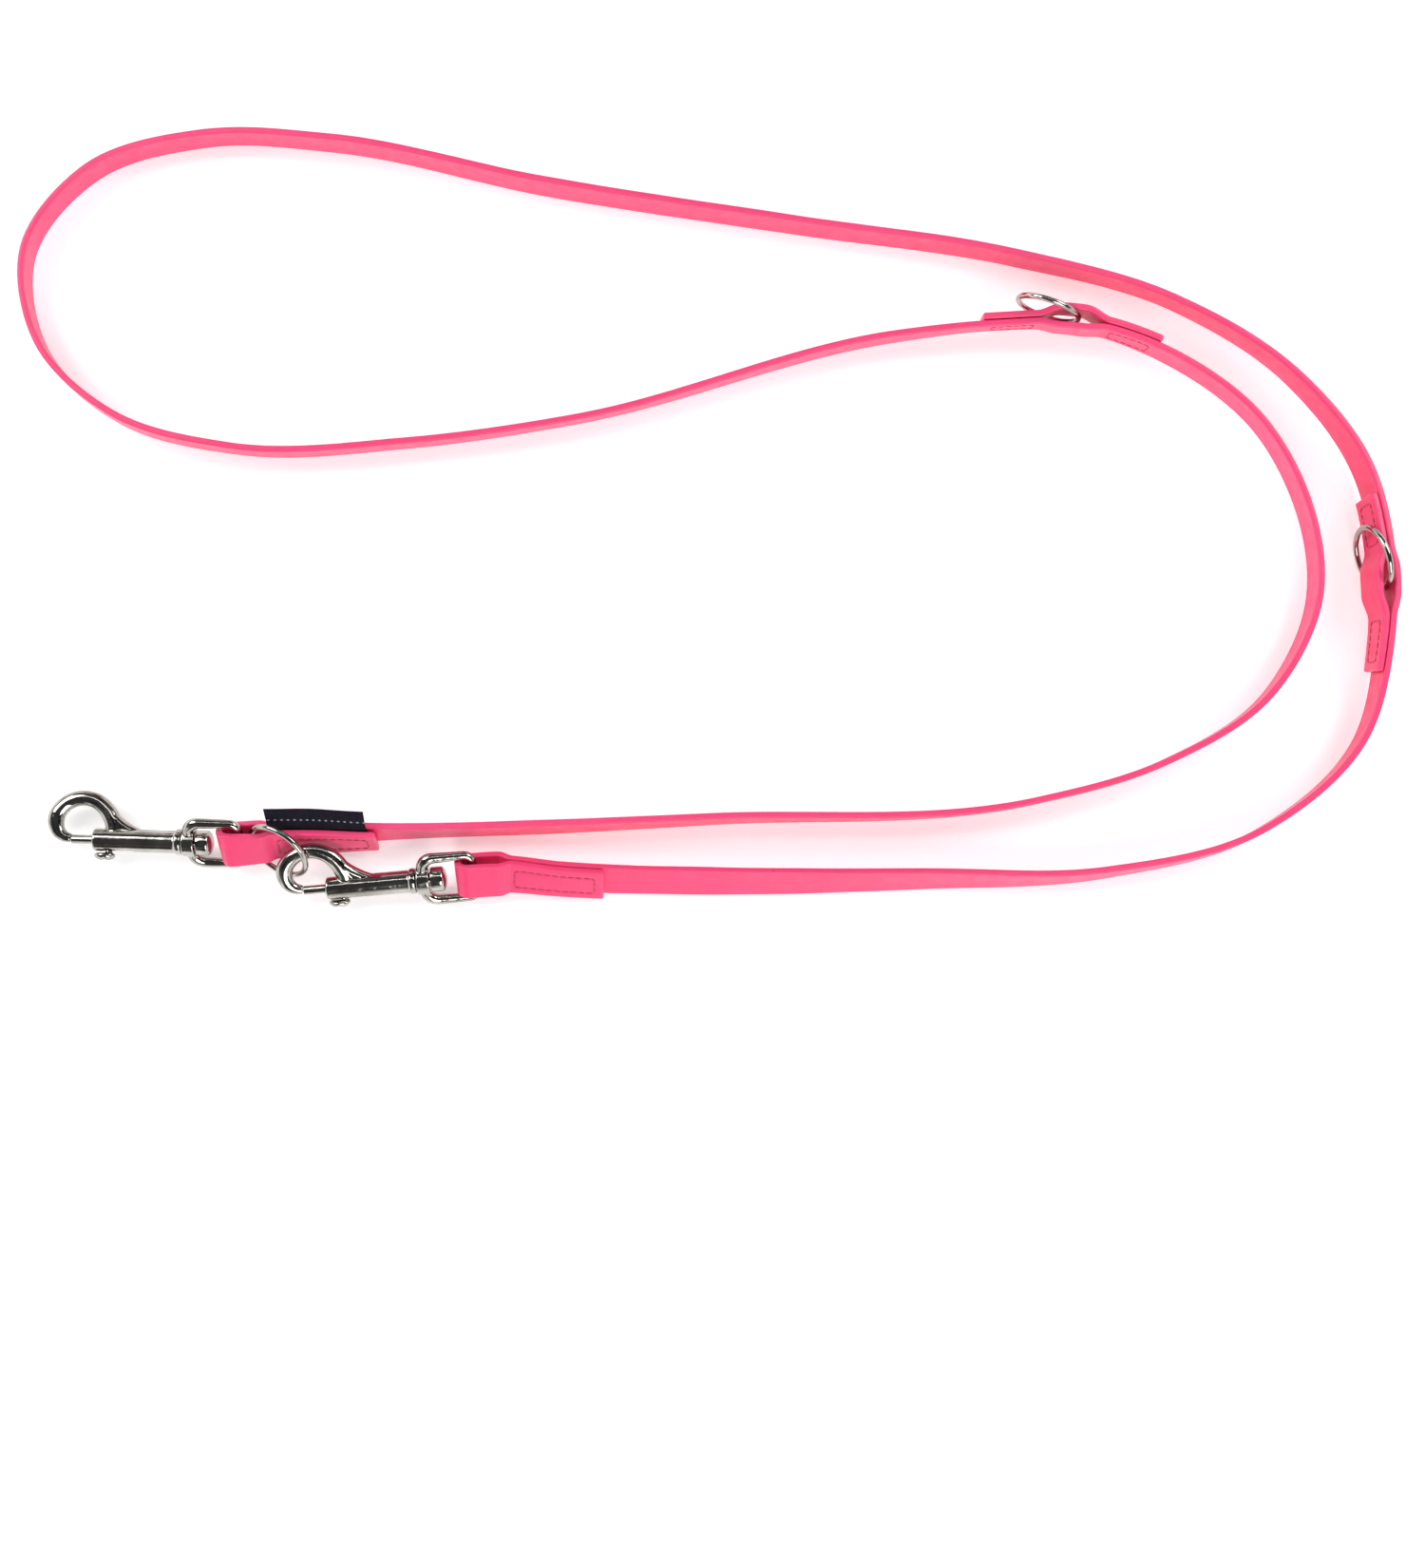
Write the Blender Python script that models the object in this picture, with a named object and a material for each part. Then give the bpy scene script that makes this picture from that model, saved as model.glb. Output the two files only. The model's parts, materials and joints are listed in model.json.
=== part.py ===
"""Training leash: one coated strap standing on its edge, with a swivel bolt snap sewn in at each end,
a welded ring beside the first snap and two more rings held by short patches sewn to the strap.

Units are metres, +Z is up. The strap stands on the plane z = 0. +X runs along the folded leash.
The second snap is hooked into the end ring, as the leash is worn when its length is shortened.
"""

import math

import bpy
import numpy as np
from mathutils import Matrix, Vector

MM = 0.001

# Strap
STRAP_WIDTH = 0.0130
STRAP_THICK = 0.0022
GAP = 0.0003  # left between pieces that touch
STEP = 0.00001  # length of a square shoulder in a turned profile
BEVEL = 0.0004
SMALL_BEVEL = 0.0003
FLOOR_GAP = 0.00016  # keeps the twisted runs of the strap off the floor
LAYER_STEP = STRAP_THICK + GAP  # from one sewn layer's middle to the next

# Route of the strap's middle line: x, y, lean of the strap in degrees (top edge to the left of travel
# is positive) and the height of its lower edge above the floor.
ROUTE = [
    (-0.1587, -0.1106, 50, 0.0024),
    (-0.1457, -0.1092, 38, 0.0016),
    (-0.1267, -0.1076, 26, 0.0002),
    (-0.1047, -0.1070, 14, 0.0000),
    (-0.0487, -0.1053, 9, 0.0000),
    (0.0033, -0.1028, 5, 0.0000),
    (0.1113, -0.0966, -2, 0.0000),
    (0.1533, -0.0841, -1, 0.0000),
    (0.1883, -0.0616, -1, 0.0000),
    (0.2043, -0.0316, -3, 0.0000),
    (0.1873, 0.0312, 0, 0.0002),
    (0.1573, 0.0537, 1, 0.0016),
    (0.1273, 0.0638, 6, 0.0028),
    (0.0993, 0.0640, 9, 0.0026),
    (0.0653, 0.0607, 6, 0.0008),
    (-0.0427, 0.0324, 8, 0.0000),
    (-0.0997, 0.0242, 6, 0.0000),
    (-0.1587, 0.0224, 4, 0.0000),
    (-0.1987, 0.0337, 1, 0.0000),
    (-0.2237, 0.0574, -2, 0.0000),
    (-0.2292, 0.0904, -3, 0.0000),
    (-0.2087, 0.1179, -2, 0.0000),
    (-0.1707, 0.1299, -2, 0.0000),
    (-0.1267, 0.1284, 0, 0.0000),
    (-0.0547, 0.1134, 3, 0.0000),
    (0.0333, 0.0994, 2, 0.0000),
    (0.1053, 0.0884, 0, 0.0000),
    (0.1603, 0.0724, -3, 0.0000),
    (0.1993, 0.0469, 1, 0.0002),
    (0.2218, 0.0144, 8, 0.0020),
    (0.2275, -0.0156, 11, 0.0033),
    (0.2271, -0.0436, 6, 0.0027),
    (0.2193, -0.0756, 0, 0.0004),
    (0.1853, -0.1066, -2, 0.0001),
    (0.1333, -0.1206, -7, 0.0000),
    (0.0733, -0.1226, -22, 0.0000),
    (0.0033, -0.1233, -35, 0.0000),
    (-0.0467, -0.1218, -40, 0.0002),
    (-0.0667, -0.1202, -46, 0.0012),
    (-0.0805, -0.1212, -51, 0.0021),
]
ROUTE_STEP = 0.0010  # spacing of the reference stations along the route
STRAP_STEP = 0.0090  # spacing of the strap's own sections
BEND_STEP = 0.0012  # spacing of the sections in the folds and at the ring channels

# Folded ends: lengths along the route, from each end of it
FOLD_LOOP_R = 0.0031  # bend of the layer's middle round the snap's eye
FOLD_LOOP_END = 0.0175  # where the two layers are sewn together
FOLD_LOOP_FULL = 0.0130  # where the loop is at its widest
FIRST_FOLD_LENGTH = 0.0510
SECOND_FOLD_LENGTH = 0.0480
LABEL_ROOM = 0.0008  # extra space between the first fold's layers, for the label

# Ring patches
PATCH_LENGTH = 0.0600
CHANNEL_FLAT = 0.0035  # half length of the widest part of the channel
CHANNEL_HALF = 0.0120  # half length of the whole channel
CHANNEL_WIDE = 0.0041  # widest clear space between strap and patch
CHANNEL_SHARE = 0.35  # the share of it that the strap itself bends away
MIDDLE_CHANNEL = (0.1247, 0.0631)
SIDE_CHANNEL = (0.2278, -0.0241)

# Rings
RING_R = 0.0106  # to the middle of the wire
RING_WIRE_R = 0.0010
MIDDLE_RING = {"skew": 14.0, "lean": -3.0}  # degrees off the strap, and of its top to the patch's side
SIDE_RING = {"skew": 17.0, "lean": -8.0}
RING_AXIS_OFF = 0.0087  # from a ring's centre to its swing axis
END_RING_CENTRE = (-0.13974, -0.11369, 0.01126)
END_RING_HEADING = 148.2
END_RING_TILT = 123.1

# Seams
THREAD_R = 0.0003
SEAM_HALF_WIDTH = 0.0036
SEAM_CORNER = 0.0012
SEAM_MARGIN = 0.0030  # from a layer's cut end to its seam
SEAM_OFFSET = 0.0010  # from a loop or a channel to its seam

# Label
LABEL_THICK = 0.0005
LABEL_FROM = 0.0160
LABEL_TO = 0.0485
LABEL_LOW = 0.0010  # lowest and highest edge, across the strap from its middle
LABEL_HIGH = 0.0160
LABEL_LEAN = 42.0
LABEL_CLEAR = 0.0010  # how far it stands straight up out of the fold before it leans

# Bolt snap: distances from the middle of the eye's end bar along the barrel's axis
EYE_WIRE_R = 0.0015
EYE_BAR_R = 0.0020
EYE_HALF_WIDTH = 0.0086
EYE_CORNER = 0.0026
EYE_SHOULDER = 0.0042
EYE_COLLAR_AT = 0.0168
EYE_COLLAR_HALF = 0.00205
EYE_COLLAR_R = 0.0047
EYE_HOLE_R = 0.0024
EYE_REAR_FLAT = 0.35  # shares of the half width that are straight at its ends
EYE_FRONT_FLAT = 0.25
EYE_SWELL = (0.55, 0.40)  # where the wire starts to thicken, and over how much of the length
HEAD_FROM = 0.0090
HEAD_TO = 0.0142
HEAD_R = 0.00415
HEAD_DOME = (0.45, 0.78)  # the rivet head's radii towards its crown, as shares of its radius
HEAD_RISE = 0.0018
NECK_R = 0.0020
BARREL_REAR = 0.0192
BARREL_FLANGE = 0.0023
BARREL_FRONT = 0.0490
BARREL_R = 0.0038
FLANGE_R = 0.0043
BORE_R = 0.00255
NOSE_BORE_R = 0.0018
NOSE_WALL = 0.0022
TIP_SEAT = 0.0570
BOLT_R = 0.0015
PLUNGER_R = 0.00225
PLUNGER_REAR = 0.0358
STEM_AT = 0.0440
STEM_R = 0.00115
KNOB_CLEAR = 0.00045  # between the barrel and the knob's head
KNOB_HEAD = [  # the head's profile: distance out from its lower face, radius
    (0.0, 0.0026),
    (0.00055, 0.0034),
    (0.00135, 0.0033),
    (0.00215, 0.0025),
    (0.00265, 0.0012),
]
KNOB_LONG = 1.05  # the head's length and width, as shares of the round profile
KNOB_NARROW = 0.78
KNOB_FORWARD = 0.0014
BOLT_TRAVEL = 0.0070
SLOT_HALF_WIDTH = 0.0015
SLOT_END_GAP = 0.0005
SPRING_R = 0.0019
SPRING_WIRE_R = 0.00025
SPRING_TURNS = 8
PLUG_TO = 0.0234

# The hook's middle line in the plane of the hook, in millimetres: distance from the eye's end bar,
# distance from the barrel's axis, half width in the plane and half thickness across it.
HOOK_LINE = [
    (57.0, 0.30, 1.50, 1.50),
    (59.4, 0.90, 1.95, 1.80),
    (61.4, 2.60, 2.40, 2.10),
    (62.3, 5.40, 2.70, 2.25),
    (61.8, 8.40, 2.75, 2.30),
    (59.7, 11.1, 2.65, 2.30),
    (56.3, 13.1, 2.60, 2.30),
    (52.4, 13.7, 2.60, 2.30),
    (48.5, 12.6, 2.70, 2.30),
    (45.4, 10.1, 2.80, 2.35),
    (43.4, 6.90, 2.90, 2.50),
    (42.3, 3.80, 3.00, 2.60),
    (41.8, 1.00, 3.00, 2.70),
]

# The web that spreads the hook's root along the barrel, in the same columns.
WEB_LINE = [
    (45.0, 10.6, 1.10, 1.80),
    (42.7, 7.80, 1.70, 2.10),
    (40.2, 5.30, 2.00, 2.20),
    (37.2, 3.60, 1.80, 2.10),
    (34.0, 2.70, 1.20, 1.80),
]

# Where each snap lies: distance of its eye's bar from the fold's end, direction of the barrel from the
# eye to the hook, and the direction in which the hook stands off the barrel.
SNAPS = {
    "snap_1": {"bar": 0.0058, "axis": (-1.0, 0.032, -0.055), "hook": (0.0, 1.0, 0.04)},
    "snap_2": {"bar": 0.0050, "axis": (-1.0, -0.086, -0.022), "hook": (0.0, 1.0, 0.47)},
}


def clear_scene():
    for item in list(bpy.data.objects):
        bpy.data.objects.remove(item, do_unlink=True)


def make_material(name, colour, metallic, roughness):
    material = bpy.data.materials.new(name)
    material.use_nodes = True
    shader = material.node_tree.nodes["Principled BSDF"]
    shader.inputs["Base Color"].default_value = (*colour, 1.0)
    shader.inputs["Metallic"].default_value = metallic
    shader.inputs["Roughness"].default_value = roughness
    material.diffuse_color = (*colour, 1.0)
    return material


LOOKS = {
    "strap": ((0.90, 0.10, 0.20), 0.0, 0.45),
    "thread": ((0.62, 0.06, 0.15), 0.0, 0.80),
    "label": ((0.012, 0.012, 0.022), 0.0, 0.85),
    "nickel": ((0.66, 0.64, 0.60), 1.0, 0.18),
    "spring": ((0.55, 0.55, 0.56), 1.0, 0.30),
}


def finish_object(item, look, parent=None):
    """Links an object, gives it a material of its own and hangs it on its parent."""
    if item.name not in bpy.context.scene.collection.objects:
        bpy.context.scene.collection.objects.link(item)
    item.data.materials.append(make_material(item.name + "_look", *LOOKS[look]))
    if parent is not None:
        item.parent = parent
    return item


def mesh_object(name, points, faces, look, parent=None, smooth_angle=40):
    mesh = bpy.data.meshes.new(name)
    mesh.from_pydata([tuple(p) for p in points], [], faces)
    mesh.update()
    if smooth_angle:
        mesh.shade_smooth()
        mesh.set_sharp_from_angle(angle=math.radians(smooth_angle))
    return finish_object(bpy.data.objects.new(name, mesh), look, parent)


def loft(rings, closed=False):
    """Points and faces of a body through rings of equally many points, each ring anticlockwise seen
    from the end that the body grows towards. An open body gets flat caps."""
    sides = len(rings[0])
    count = len(rings)
    points = [p for ring in rings for p in ring]
    faces = []
    for i in range(count if closed else count - 1):
        near = i * sides
        far = ((i + 1) % count) * sides
        for j in range(sides):
            k = (j + 1) % sides
            faces.append((near + j, near + k, far + k, far + j))
    if not closed:
        faces.append(tuple(reversed(range(sides))))
        faces.append(tuple(range((count - 1) * sides, count * sides)))
    return points, faces


def turned(profile, sides):
    """Points and faces of a solid turned about X. The profile is a list of (x, radius), x rising."""
    rings = []
    for x, radius in profile:
        turns = [2 * math.pi * j / sides for j in range(sides)]
        rings.append([(x, radius * math.cos(a), radius * math.sin(a)) for a in turns])
    return loft(rings)


def cutter(name, points, faces, parent):
    """A guide body for a Boolean, which isn't part of the object."""
    item = mesh_object(name, points, faces, "nickel", parent, smooth_angle=0)
    item.hide_render = True
    item.display_type = "WIRE"
    return item


def combine(item, other, operation):
    modifier = item.modifiers.new(operation.lower(), "BOOLEAN")
    modifier.operation = operation
    modifier.solver = "EXACT"
    modifier.object = other


def smooth_line(knots, spacing):
    """Rows every spacing along a smooth curve through the knots. The first columns of a knot are its
    place; the rest are carried along with it."""
    rows = np.array(knots, float)
    chords = np.linalg.norm(np.diff(rows[:, :2], axis=0), axis=1)
    at = np.concatenate([[0.0], np.cumsum(chords)])
    slopes = np.gradient(rows, at, axis=0)
    want = np.linspace(0.0, at[-1], int(round(at[-1] / spacing)) + 1)
    i = np.clip(np.searchsorted(at, want, side="right") - 1, 0, len(at) - 2)
    span = (at[i + 1] - at[i])[:, None]
    t = (want[:, None] - at[i][:, None]) / span
    start = (1 + 2 * t) * (1 - t) ** 2 * rows[i] + t * (1 - t) ** 2 * span * slopes[i]
    end = t * t * (3 - 2 * t) * rows[i + 1] + t * t * (t - 1) * span * slopes[i + 1]
    return start + end


class Strap:
    """The strap's reference line: its place, width direction and face direction at any length."""

    def __init__(self):
        line = smooth_line(ROUTE, ROUTE_STEP)
        lean = np.radians(line[:, 2])
        half = STRAP_WIDTH / 2 * np.cos(lean) + STRAP_THICK / 2 * np.abs(np.sin(lean))
        self.place = np.column_stack([line[:, :2], half + line[:, 3] + FLOOR_GAP])
        steps = np.linalg.norm(np.diff(self.place, axis=0), axis=1)
        self.length_at = np.concatenate([[0.0], np.cumsum(steps)])
        self.length = self.length_at[-1]
        along = np.gradient(self.place, self.length_at, axis=0)
        along /= np.linalg.norm(along, axis=1)[:, None]
        left = np.cross([0.0, 0.0, 1.0], along)
        left /= np.linalg.norm(left, axis=1)[:, None]
        across = np.cos(lean)[:, None] * np.array([0.0, 0.0, 1.0]) + np.sin(lean)[:, None] * left
        across -= np.sum(across * along, axis=1)[:, None] * along
        across /= np.linalg.norm(across, axis=1)[:, None]
        self.along = along
        self.across = across
        self.face = np.cross(across, along)

    def frame(self, s):
        """Place, direction of travel, width direction and face direction at length s."""
        columns = (self.place, self.along, self.across, self.face)
        got = [np.array([np.interp(s, self.length_at, c[:, k]) for k in range(3)]) for c in columns]
        if s < 0:
            got[0] += s * got[1]
        if s > self.length:
            got[0] += (s - self.length) * got[1]
        return got

    def point(self, s, across=0.0, off=0.0):
        place, _, width, face = self.frame(s)
        return place + across * width + off * face

    def nearest(self, spot):
        return self.length_at[np.argmin(np.linalg.norm(self.place[:, :2] - np.array(spot), axis=1))]


def ease(t):
    t = min(max(t, 0.0), 1.0)
    return t * t * (3 - 2 * t)


def channel(distance):
    """How wide open a ring channel is, from 0 to 1, at a distance from its middle."""
    return 1.0 - ease((abs(distance) - CHANNEL_FLAT) / (CHANNEL_HALF - CHANNEL_FLAT))


def strap_shift(s, channels):
    """How far the strap itself bends out of its line to make room for the rings."""
    return sum(CHANNEL_SHARE * (CHANNEL_WIDE - GAP) * channel(s - c) for c in channels)


def patch_shift(s, middle):
    """Middle of a patch's layer, measured from the strap's reference line."""
    return -LAYER_STEP - (1 - CHANNEL_SHARE) * (CHANNEL_WIDE - GAP) * channel(s - middle)


def fold_line(length, sewn_step):
    """One folded end in its own plane: rows of (distance from the fold, layer's offset), from the cut
    end round the fold and back to where the layers part. Offsets are towards the folded layer."""
    middle = sewn_step / 2
    rows = []
    for s in np.arange(length, FOLD_LOOP_END, -STRAP_STEP / 2):
        rows.append((s, sewn_step))
    open_run = np.arange(FOLD_LOOP_END, FOLD_LOOP_R, -BEND_STEP)
    for s in open_run:
        bulge = 1.0 - ease((s - FOLD_LOOP_FULL) / (FOLD_LOOP_END - FOLD_LOOP_FULL))
        rows.append((s, sewn_step + bulge * (FOLD_LOOP_R - middle)))
    for turn in np.linspace(0.0, math.pi, 13):
        rows.append(
            (FOLD_LOOP_R - FOLD_LOOP_R * math.sin(turn), middle + FOLD_LOOP_R * math.cos(turn))
        )
    for s in reversed(open_run):
        bulge = 1.0 - ease((s - FOLD_LOOP_FULL) / (FOLD_LOOP_END - FOLD_LOOP_FULL))
        rows.append((s, -bulge * (FOLD_LOOP_R - middle)))
    return rows


def ribbon(centres, widths, half_width, half_thick):
    """Rings of a flat band: its middle points, its width directions, half its width and thickness."""
    centres = np.array(centres)
    travel = np.gradient(centres, axis=0)
    travel /= np.linalg.norm(travel, axis=1)[:, None]
    rings = []
    for place, along, width in zip(centres, travel, widths):
        width = width - np.dot(width, along) * along
        width = width / np.linalg.norm(width)
        face = np.cross(width, along)
        corners = ((-1, -1), (-1, 1), (1, 1), (1, -1))
        rings.append([place + a * half_width * width + b * half_thick * face for a, b in corners])
    return rings


def build_strap(strap, channels):
    """The one long strap, with both folded ends."""
    first_step = LAYER_STEP + LABEL_ROOM
    first = fold_line(FIRST_FOLD_LENGTH, first_step)
    second = fold_line(SECOND_FOLD_LENGTH, LAYER_STEP)
    stations = [(s, -off) for s, off in first]
    s = FOLD_LOOP_END + BEND_STEP
    while s < strap.length - FOLD_LOOP_END - BEND_STEP / 2:
        stations.append((s, strap_shift(s, channels)))
        close = min(abs(s - c) for c in channels)
        if close < CHANNEL_HALF + BEND_STEP:
            s += BEND_STEP
        elif close < PATCH_LENGTH / 2 + STRAP_STEP:
            s += STRAP_STEP / 3
        else:
            s += STRAP_STEP
    stations += [(strap.length - s, off) for s, off in reversed(second)]
    centres = [strap.point(s, off=off) for s, off in stations]
    widths = [strap.frame(s)[2] for s, _ in stations]
    rings = ribbon(centres, widths, STRAP_WIDTH / 2, STRAP_THICK / 2)
    points, faces = loft(rings)
    return mesh_object("main_strap", points, faces, "strap")


def build_patch(name, strap, middle):
    """A short strap sewn on at both ends, with a channel for the ring at its middle."""
    reach = np.arange(-PATCH_LENGTH / 2, PATCH_LENGTH / 2 + 1e-9, PATCH_LENGTH / 40)
    centres = [strap.point(middle + d, off=patch_shift(middle + d, middle)) for d in reach]
    widths = [strap.frame(middle + d)[2] for d in reach]
    points, faces = loft(ribbon(centres, widths, STRAP_WIDTH / 2, STRAP_THICK / 2))
    return mesh_object(name, points, faces, "strap")


def build_seam(name, strap, start, end, off):
    """A box seam's thread: a rounded rectangle on a layer's outer face."""
    half_length = (end - start) / 2 - SEAM_CORNER
    half_width = SEAM_HALF_WIDTH - SEAM_CORNER
    centre = (start + end) / 2
    outline = []
    for quarter, (a, b) in enumerate(((1, 1), (-1, 1), (-1, -1), (1, -1))):
        for turn in (0.0, 45.0, 90.0):
            angle = math.radians(90 * quarter + turn)
            corner_s = a * half_length + SEAM_CORNER * math.cos(angle)
            outline.append((corner_s, b * half_width + SEAM_CORNER * math.sin(angle)))
        if quarter in (0, 2):
            for part in range(1, 6):
                run = a * half_length * (1 - part / 3)
                outline.append((run, b * SEAM_HALF_WIDTH))
    curve = bpy.data.curves.new(name, "CURVE")
    curve.dimensions = "3D"
    curve.bevel_depth = THREAD_R
    curve.bevel_resolution = 1
    spline = curve.splines.new("POLY")
    spline.points.add(len(outline) - 1)
    for knot, (ds, across) in zip(spline.points, outline):
        knot.co = (*strap.point(centre + ds, across, off), 1.0)
    spline.use_cyclic_u = True
    return finish_object(bpy.data.objects.new(name, curve), "thread")


def build_label(strap):
    """A woven label caught between the layers of the first fold, leaning back above the strap."""
    middle_off = -(LAYER_STEP + LABEL_ROOM) / 2
    clear = STRAP_WIDTH / 2 + LABEL_CLEAR
    rings = []
    for s in np.linspace(LABEL_FROM, LABEL_TO, 9):
        place, along, width, face = strap.frame(s)
        lean = math.degrees(math.atan2(np.dot(width, [0, 1, 0]), width[2]))
        back = math.radians(max(LABEL_LEAN - lean, 0.0))
        spine = [(LABEL_LOW, 0.0), (STRAP_WIDTH / 2, 0.0), (clear, 0.0)]
        reach = LABEL_HIGH - clear
        spine.append((clear + reach * 0.5 * math.cos(back), reach * 0.5 * math.sin(back)))
        spine.append((clear + reach * math.cos(back), reach * math.sin(back)))
        front = [(w, middle_off + o - LABEL_THICK / 2) for w, o in reversed(spine)]
        rear = [(w, middle_off + o + LABEL_THICK / 2) for w, o in spine]
        rings.append([place + w * width + o * face for w, o in rear + front])
    points, faces = loft(rings)
    return mesh_object("maker_label", points, faces, "label")


def build_ring(name, centre, across, up, hinge):
    """A welded ring in the plane of two directions. Its origin is on its swing axis."""
    steps, sides = 48, 10
    normal = across.cross(up)
    rings = []
    for i in range(steps):
        turn = 2 * math.pi * i / steps
        out = math.cos(turn) * across + math.sin(turn) * up
        middle = centre - hinge + RING_R * out
        ring = []
        for j in range(sides):
            a = -2 * math.pi * j / sides
            ring.append(middle + RING_WIRE_R * (math.cos(a) * out + math.sin(a) * normal))
        rings.append(ring)
    points, faces = loft(rings, closed=True)
    item = mesh_object(name, points, faces, "nickel", smooth_angle=80)
    item.location = hinge
    return item


def build_patch_ring(name, strap, middle, direction, stance):
    """A ring standing in a patch's channel, on the strap's patch side. Direction says to which side
    of the channel it lies along the strap."""
    _, along, _, face = strap.frame(middle)
    run = Vector((along[0], along[1], 0.0)).normalized() * direction
    side = Vector((-face[0], -face[1], 0.0)).normalized()
    skew = math.radians(stance["skew"])
    away = math.cos(skew) * run + math.sin(skew) * side
    strap_off = strap_shift(middle, [middle])
    patch_off = patch_shift(middle, middle)
    channel_middle = (strap_off + patch_off) / 2
    hinge = Vector(strap.point(middle, off=channel_middle))
    lean = math.radians(stance["lean"])
    hinge.z = RING_R * math.cos(lean) + RING_WIRE_R + GAP / 2
    centre = hinge + RING_AXIS_OFF * away
    level = (side - side.dot(away) * away).normalized()
    up = math.cos(lean) * Vector((0.0, 0.0, 1.0)) + math.sin(lean) * level
    return build_ring(name, centre, away, up, hinge)


def build_end_ring(strap):
    """The ring held in the first fold, in front of the folded layer."""
    heading = math.radians(END_RING_HEADING)
    tilt = math.radians(END_RING_TILT)
    across = Vector((math.cos(heading), math.sin(heading), 0.0))
    level = Vector((-math.sin(heading), math.cos(heading), 0.0))
    up = math.cos(tilt) * level + math.sin(tilt) * Vector((0.0, 0.0, 1.0))
    centre = Vector(END_RING_CENTRE)
    hinge = centre + RING_AXIS_OFF * across
    return build_ring("ring_end", centre, across, up, hinge)


def place_empty(name, x_axis, z_hint, origin, parent=None):
    """An empty with its X along a joint's axis or a barrel, at a place in the world."""
    x = Vector(x_axis).normalized()
    hint = Vector(z_hint)
    z = (hint - hint.dot(x) * x).normalized()
    y = z.cross(x)
    turn = Matrix((x, y, z)).transposed().to_4x4()
    item = bpy.data.objects.new(name, None)
    bpy.context.scene.collection.objects.link(item)
    item.empty_display_size = 0.005
    item.matrix_world = Matrix.Translation(origin) @ turn
    if parent is not None:
        bpy.context.view_layer.update()
        item.parent = parent
        item.matrix_parent_inverse = parent.matrix_world.inverted()
    return item


def build_eye(name, pivot):
    """The swivel eye: a rounded wire frame whose thick bar carries a collar with a hole."""
    corners = (
        (EYE_CORNER, EYE_HALF_WIDTH - EYE_CORNER, EYE_CORNER, 180, 90),
        (EYE_COLLAR_AT - EYE_SHOULDER, EYE_HALF_WIDTH - EYE_SHOULDER, EYE_SHOULDER, 90, 0),
    )
    half = [(0.0, 0.0), (0.0, EYE_HALF_WIDTH * EYE_REAR_FLAT)]
    for x, z, radius, start, stop in corners:
        for turn in np.radians(np.linspace(start, stop, 6)):
            half.append((x + radius * math.cos(turn), z + radius * math.sin(turn)))
    half.append((EYE_COLLAR_AT, EYE_HALF_WIDTH * EYE_FRONT_FLAT))
    half.append((EYE_COLLAR_AT, 0.0))
    line = half + [(x, -z) for x, z in reversed(half[1:-1])]
    sides = 12
    rings = []
    for i, (x, z) in enumerate(line):
        ahead = line[(i + 1) % len(line)]
        behind = line[i - 1]
        travel = Vector((ahead[0] - behind[0], 0.0, ahead[1] - behind[1])).normalized()
        out = Vector((travel.z, 0.0, -travel.x))
        thick = ease((x / EYE_COLLAR_AT - EYE_SWELL[0]) / EYE_SWELL[1])
        radius = EYE_WIRE_R + thick * (EYE_BAR_R - EYE_WIRE_R)
        turns = [2 * math.pi * j / sides for j in range(sides)]
        centre = Vector((x, 0.0, z))
        side = Vector((0.0, 1.0, 0.0))
        rings.append([centre + radius * (math.cos(a) * out + math.sin(a) * side) for a in turns])
    points, faces = loft(rings, closed=True)
    eye = mesh_object(name, points, faces, "nickel", pivot)
    near = EYE_COLLAR_AT - EYE_COLLAR_HALF
    far = EYE_COLLAR_AT + EYE_COLLAR_HALF
    collar = cutter(name + "_collar", *turned([(near, EYE_COLLAR_R), (far, EYE_COLLAR_R)], 28), pivot)
    hole = cutter(name + "_hole", *turned([(near - MM, EYE_HOLE_R), (far + MM, EYE_HOLE_R)], 20), pivot)
    combine(eye, collar, "UNION")
    combine(eye, hole, "DIFFERENCE")
    return eye


def cast_bar(knots):
    """Points and faces of a bar with oval sections along a line in the hook's plane."""
    placed = [(x - 1000 * EYE_COLLAR_AT, y, a, b) for x, y, a, b in knots]
    rows = smooth_line(placed, 2.0) * MM
    travel = np.gradient(rows[:, :2], axis=0)
    travel /= np.linalg.norm(travel, axis=1)[:, None]
    sides = 14
    rings = []
    for (x, y, wide, thick), (tx, ty) in zip(rows, travel):
        ring = []
        for j in range(sides):
            a = -2 * math.pi * j / sides
            in_plane = wide * math.cos(a)
            ring.append((x - ty * in_plane, y + tx * in_plane, thick * math.sin(a)))
        rings.append(ring)
    return loft(rings)


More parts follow.
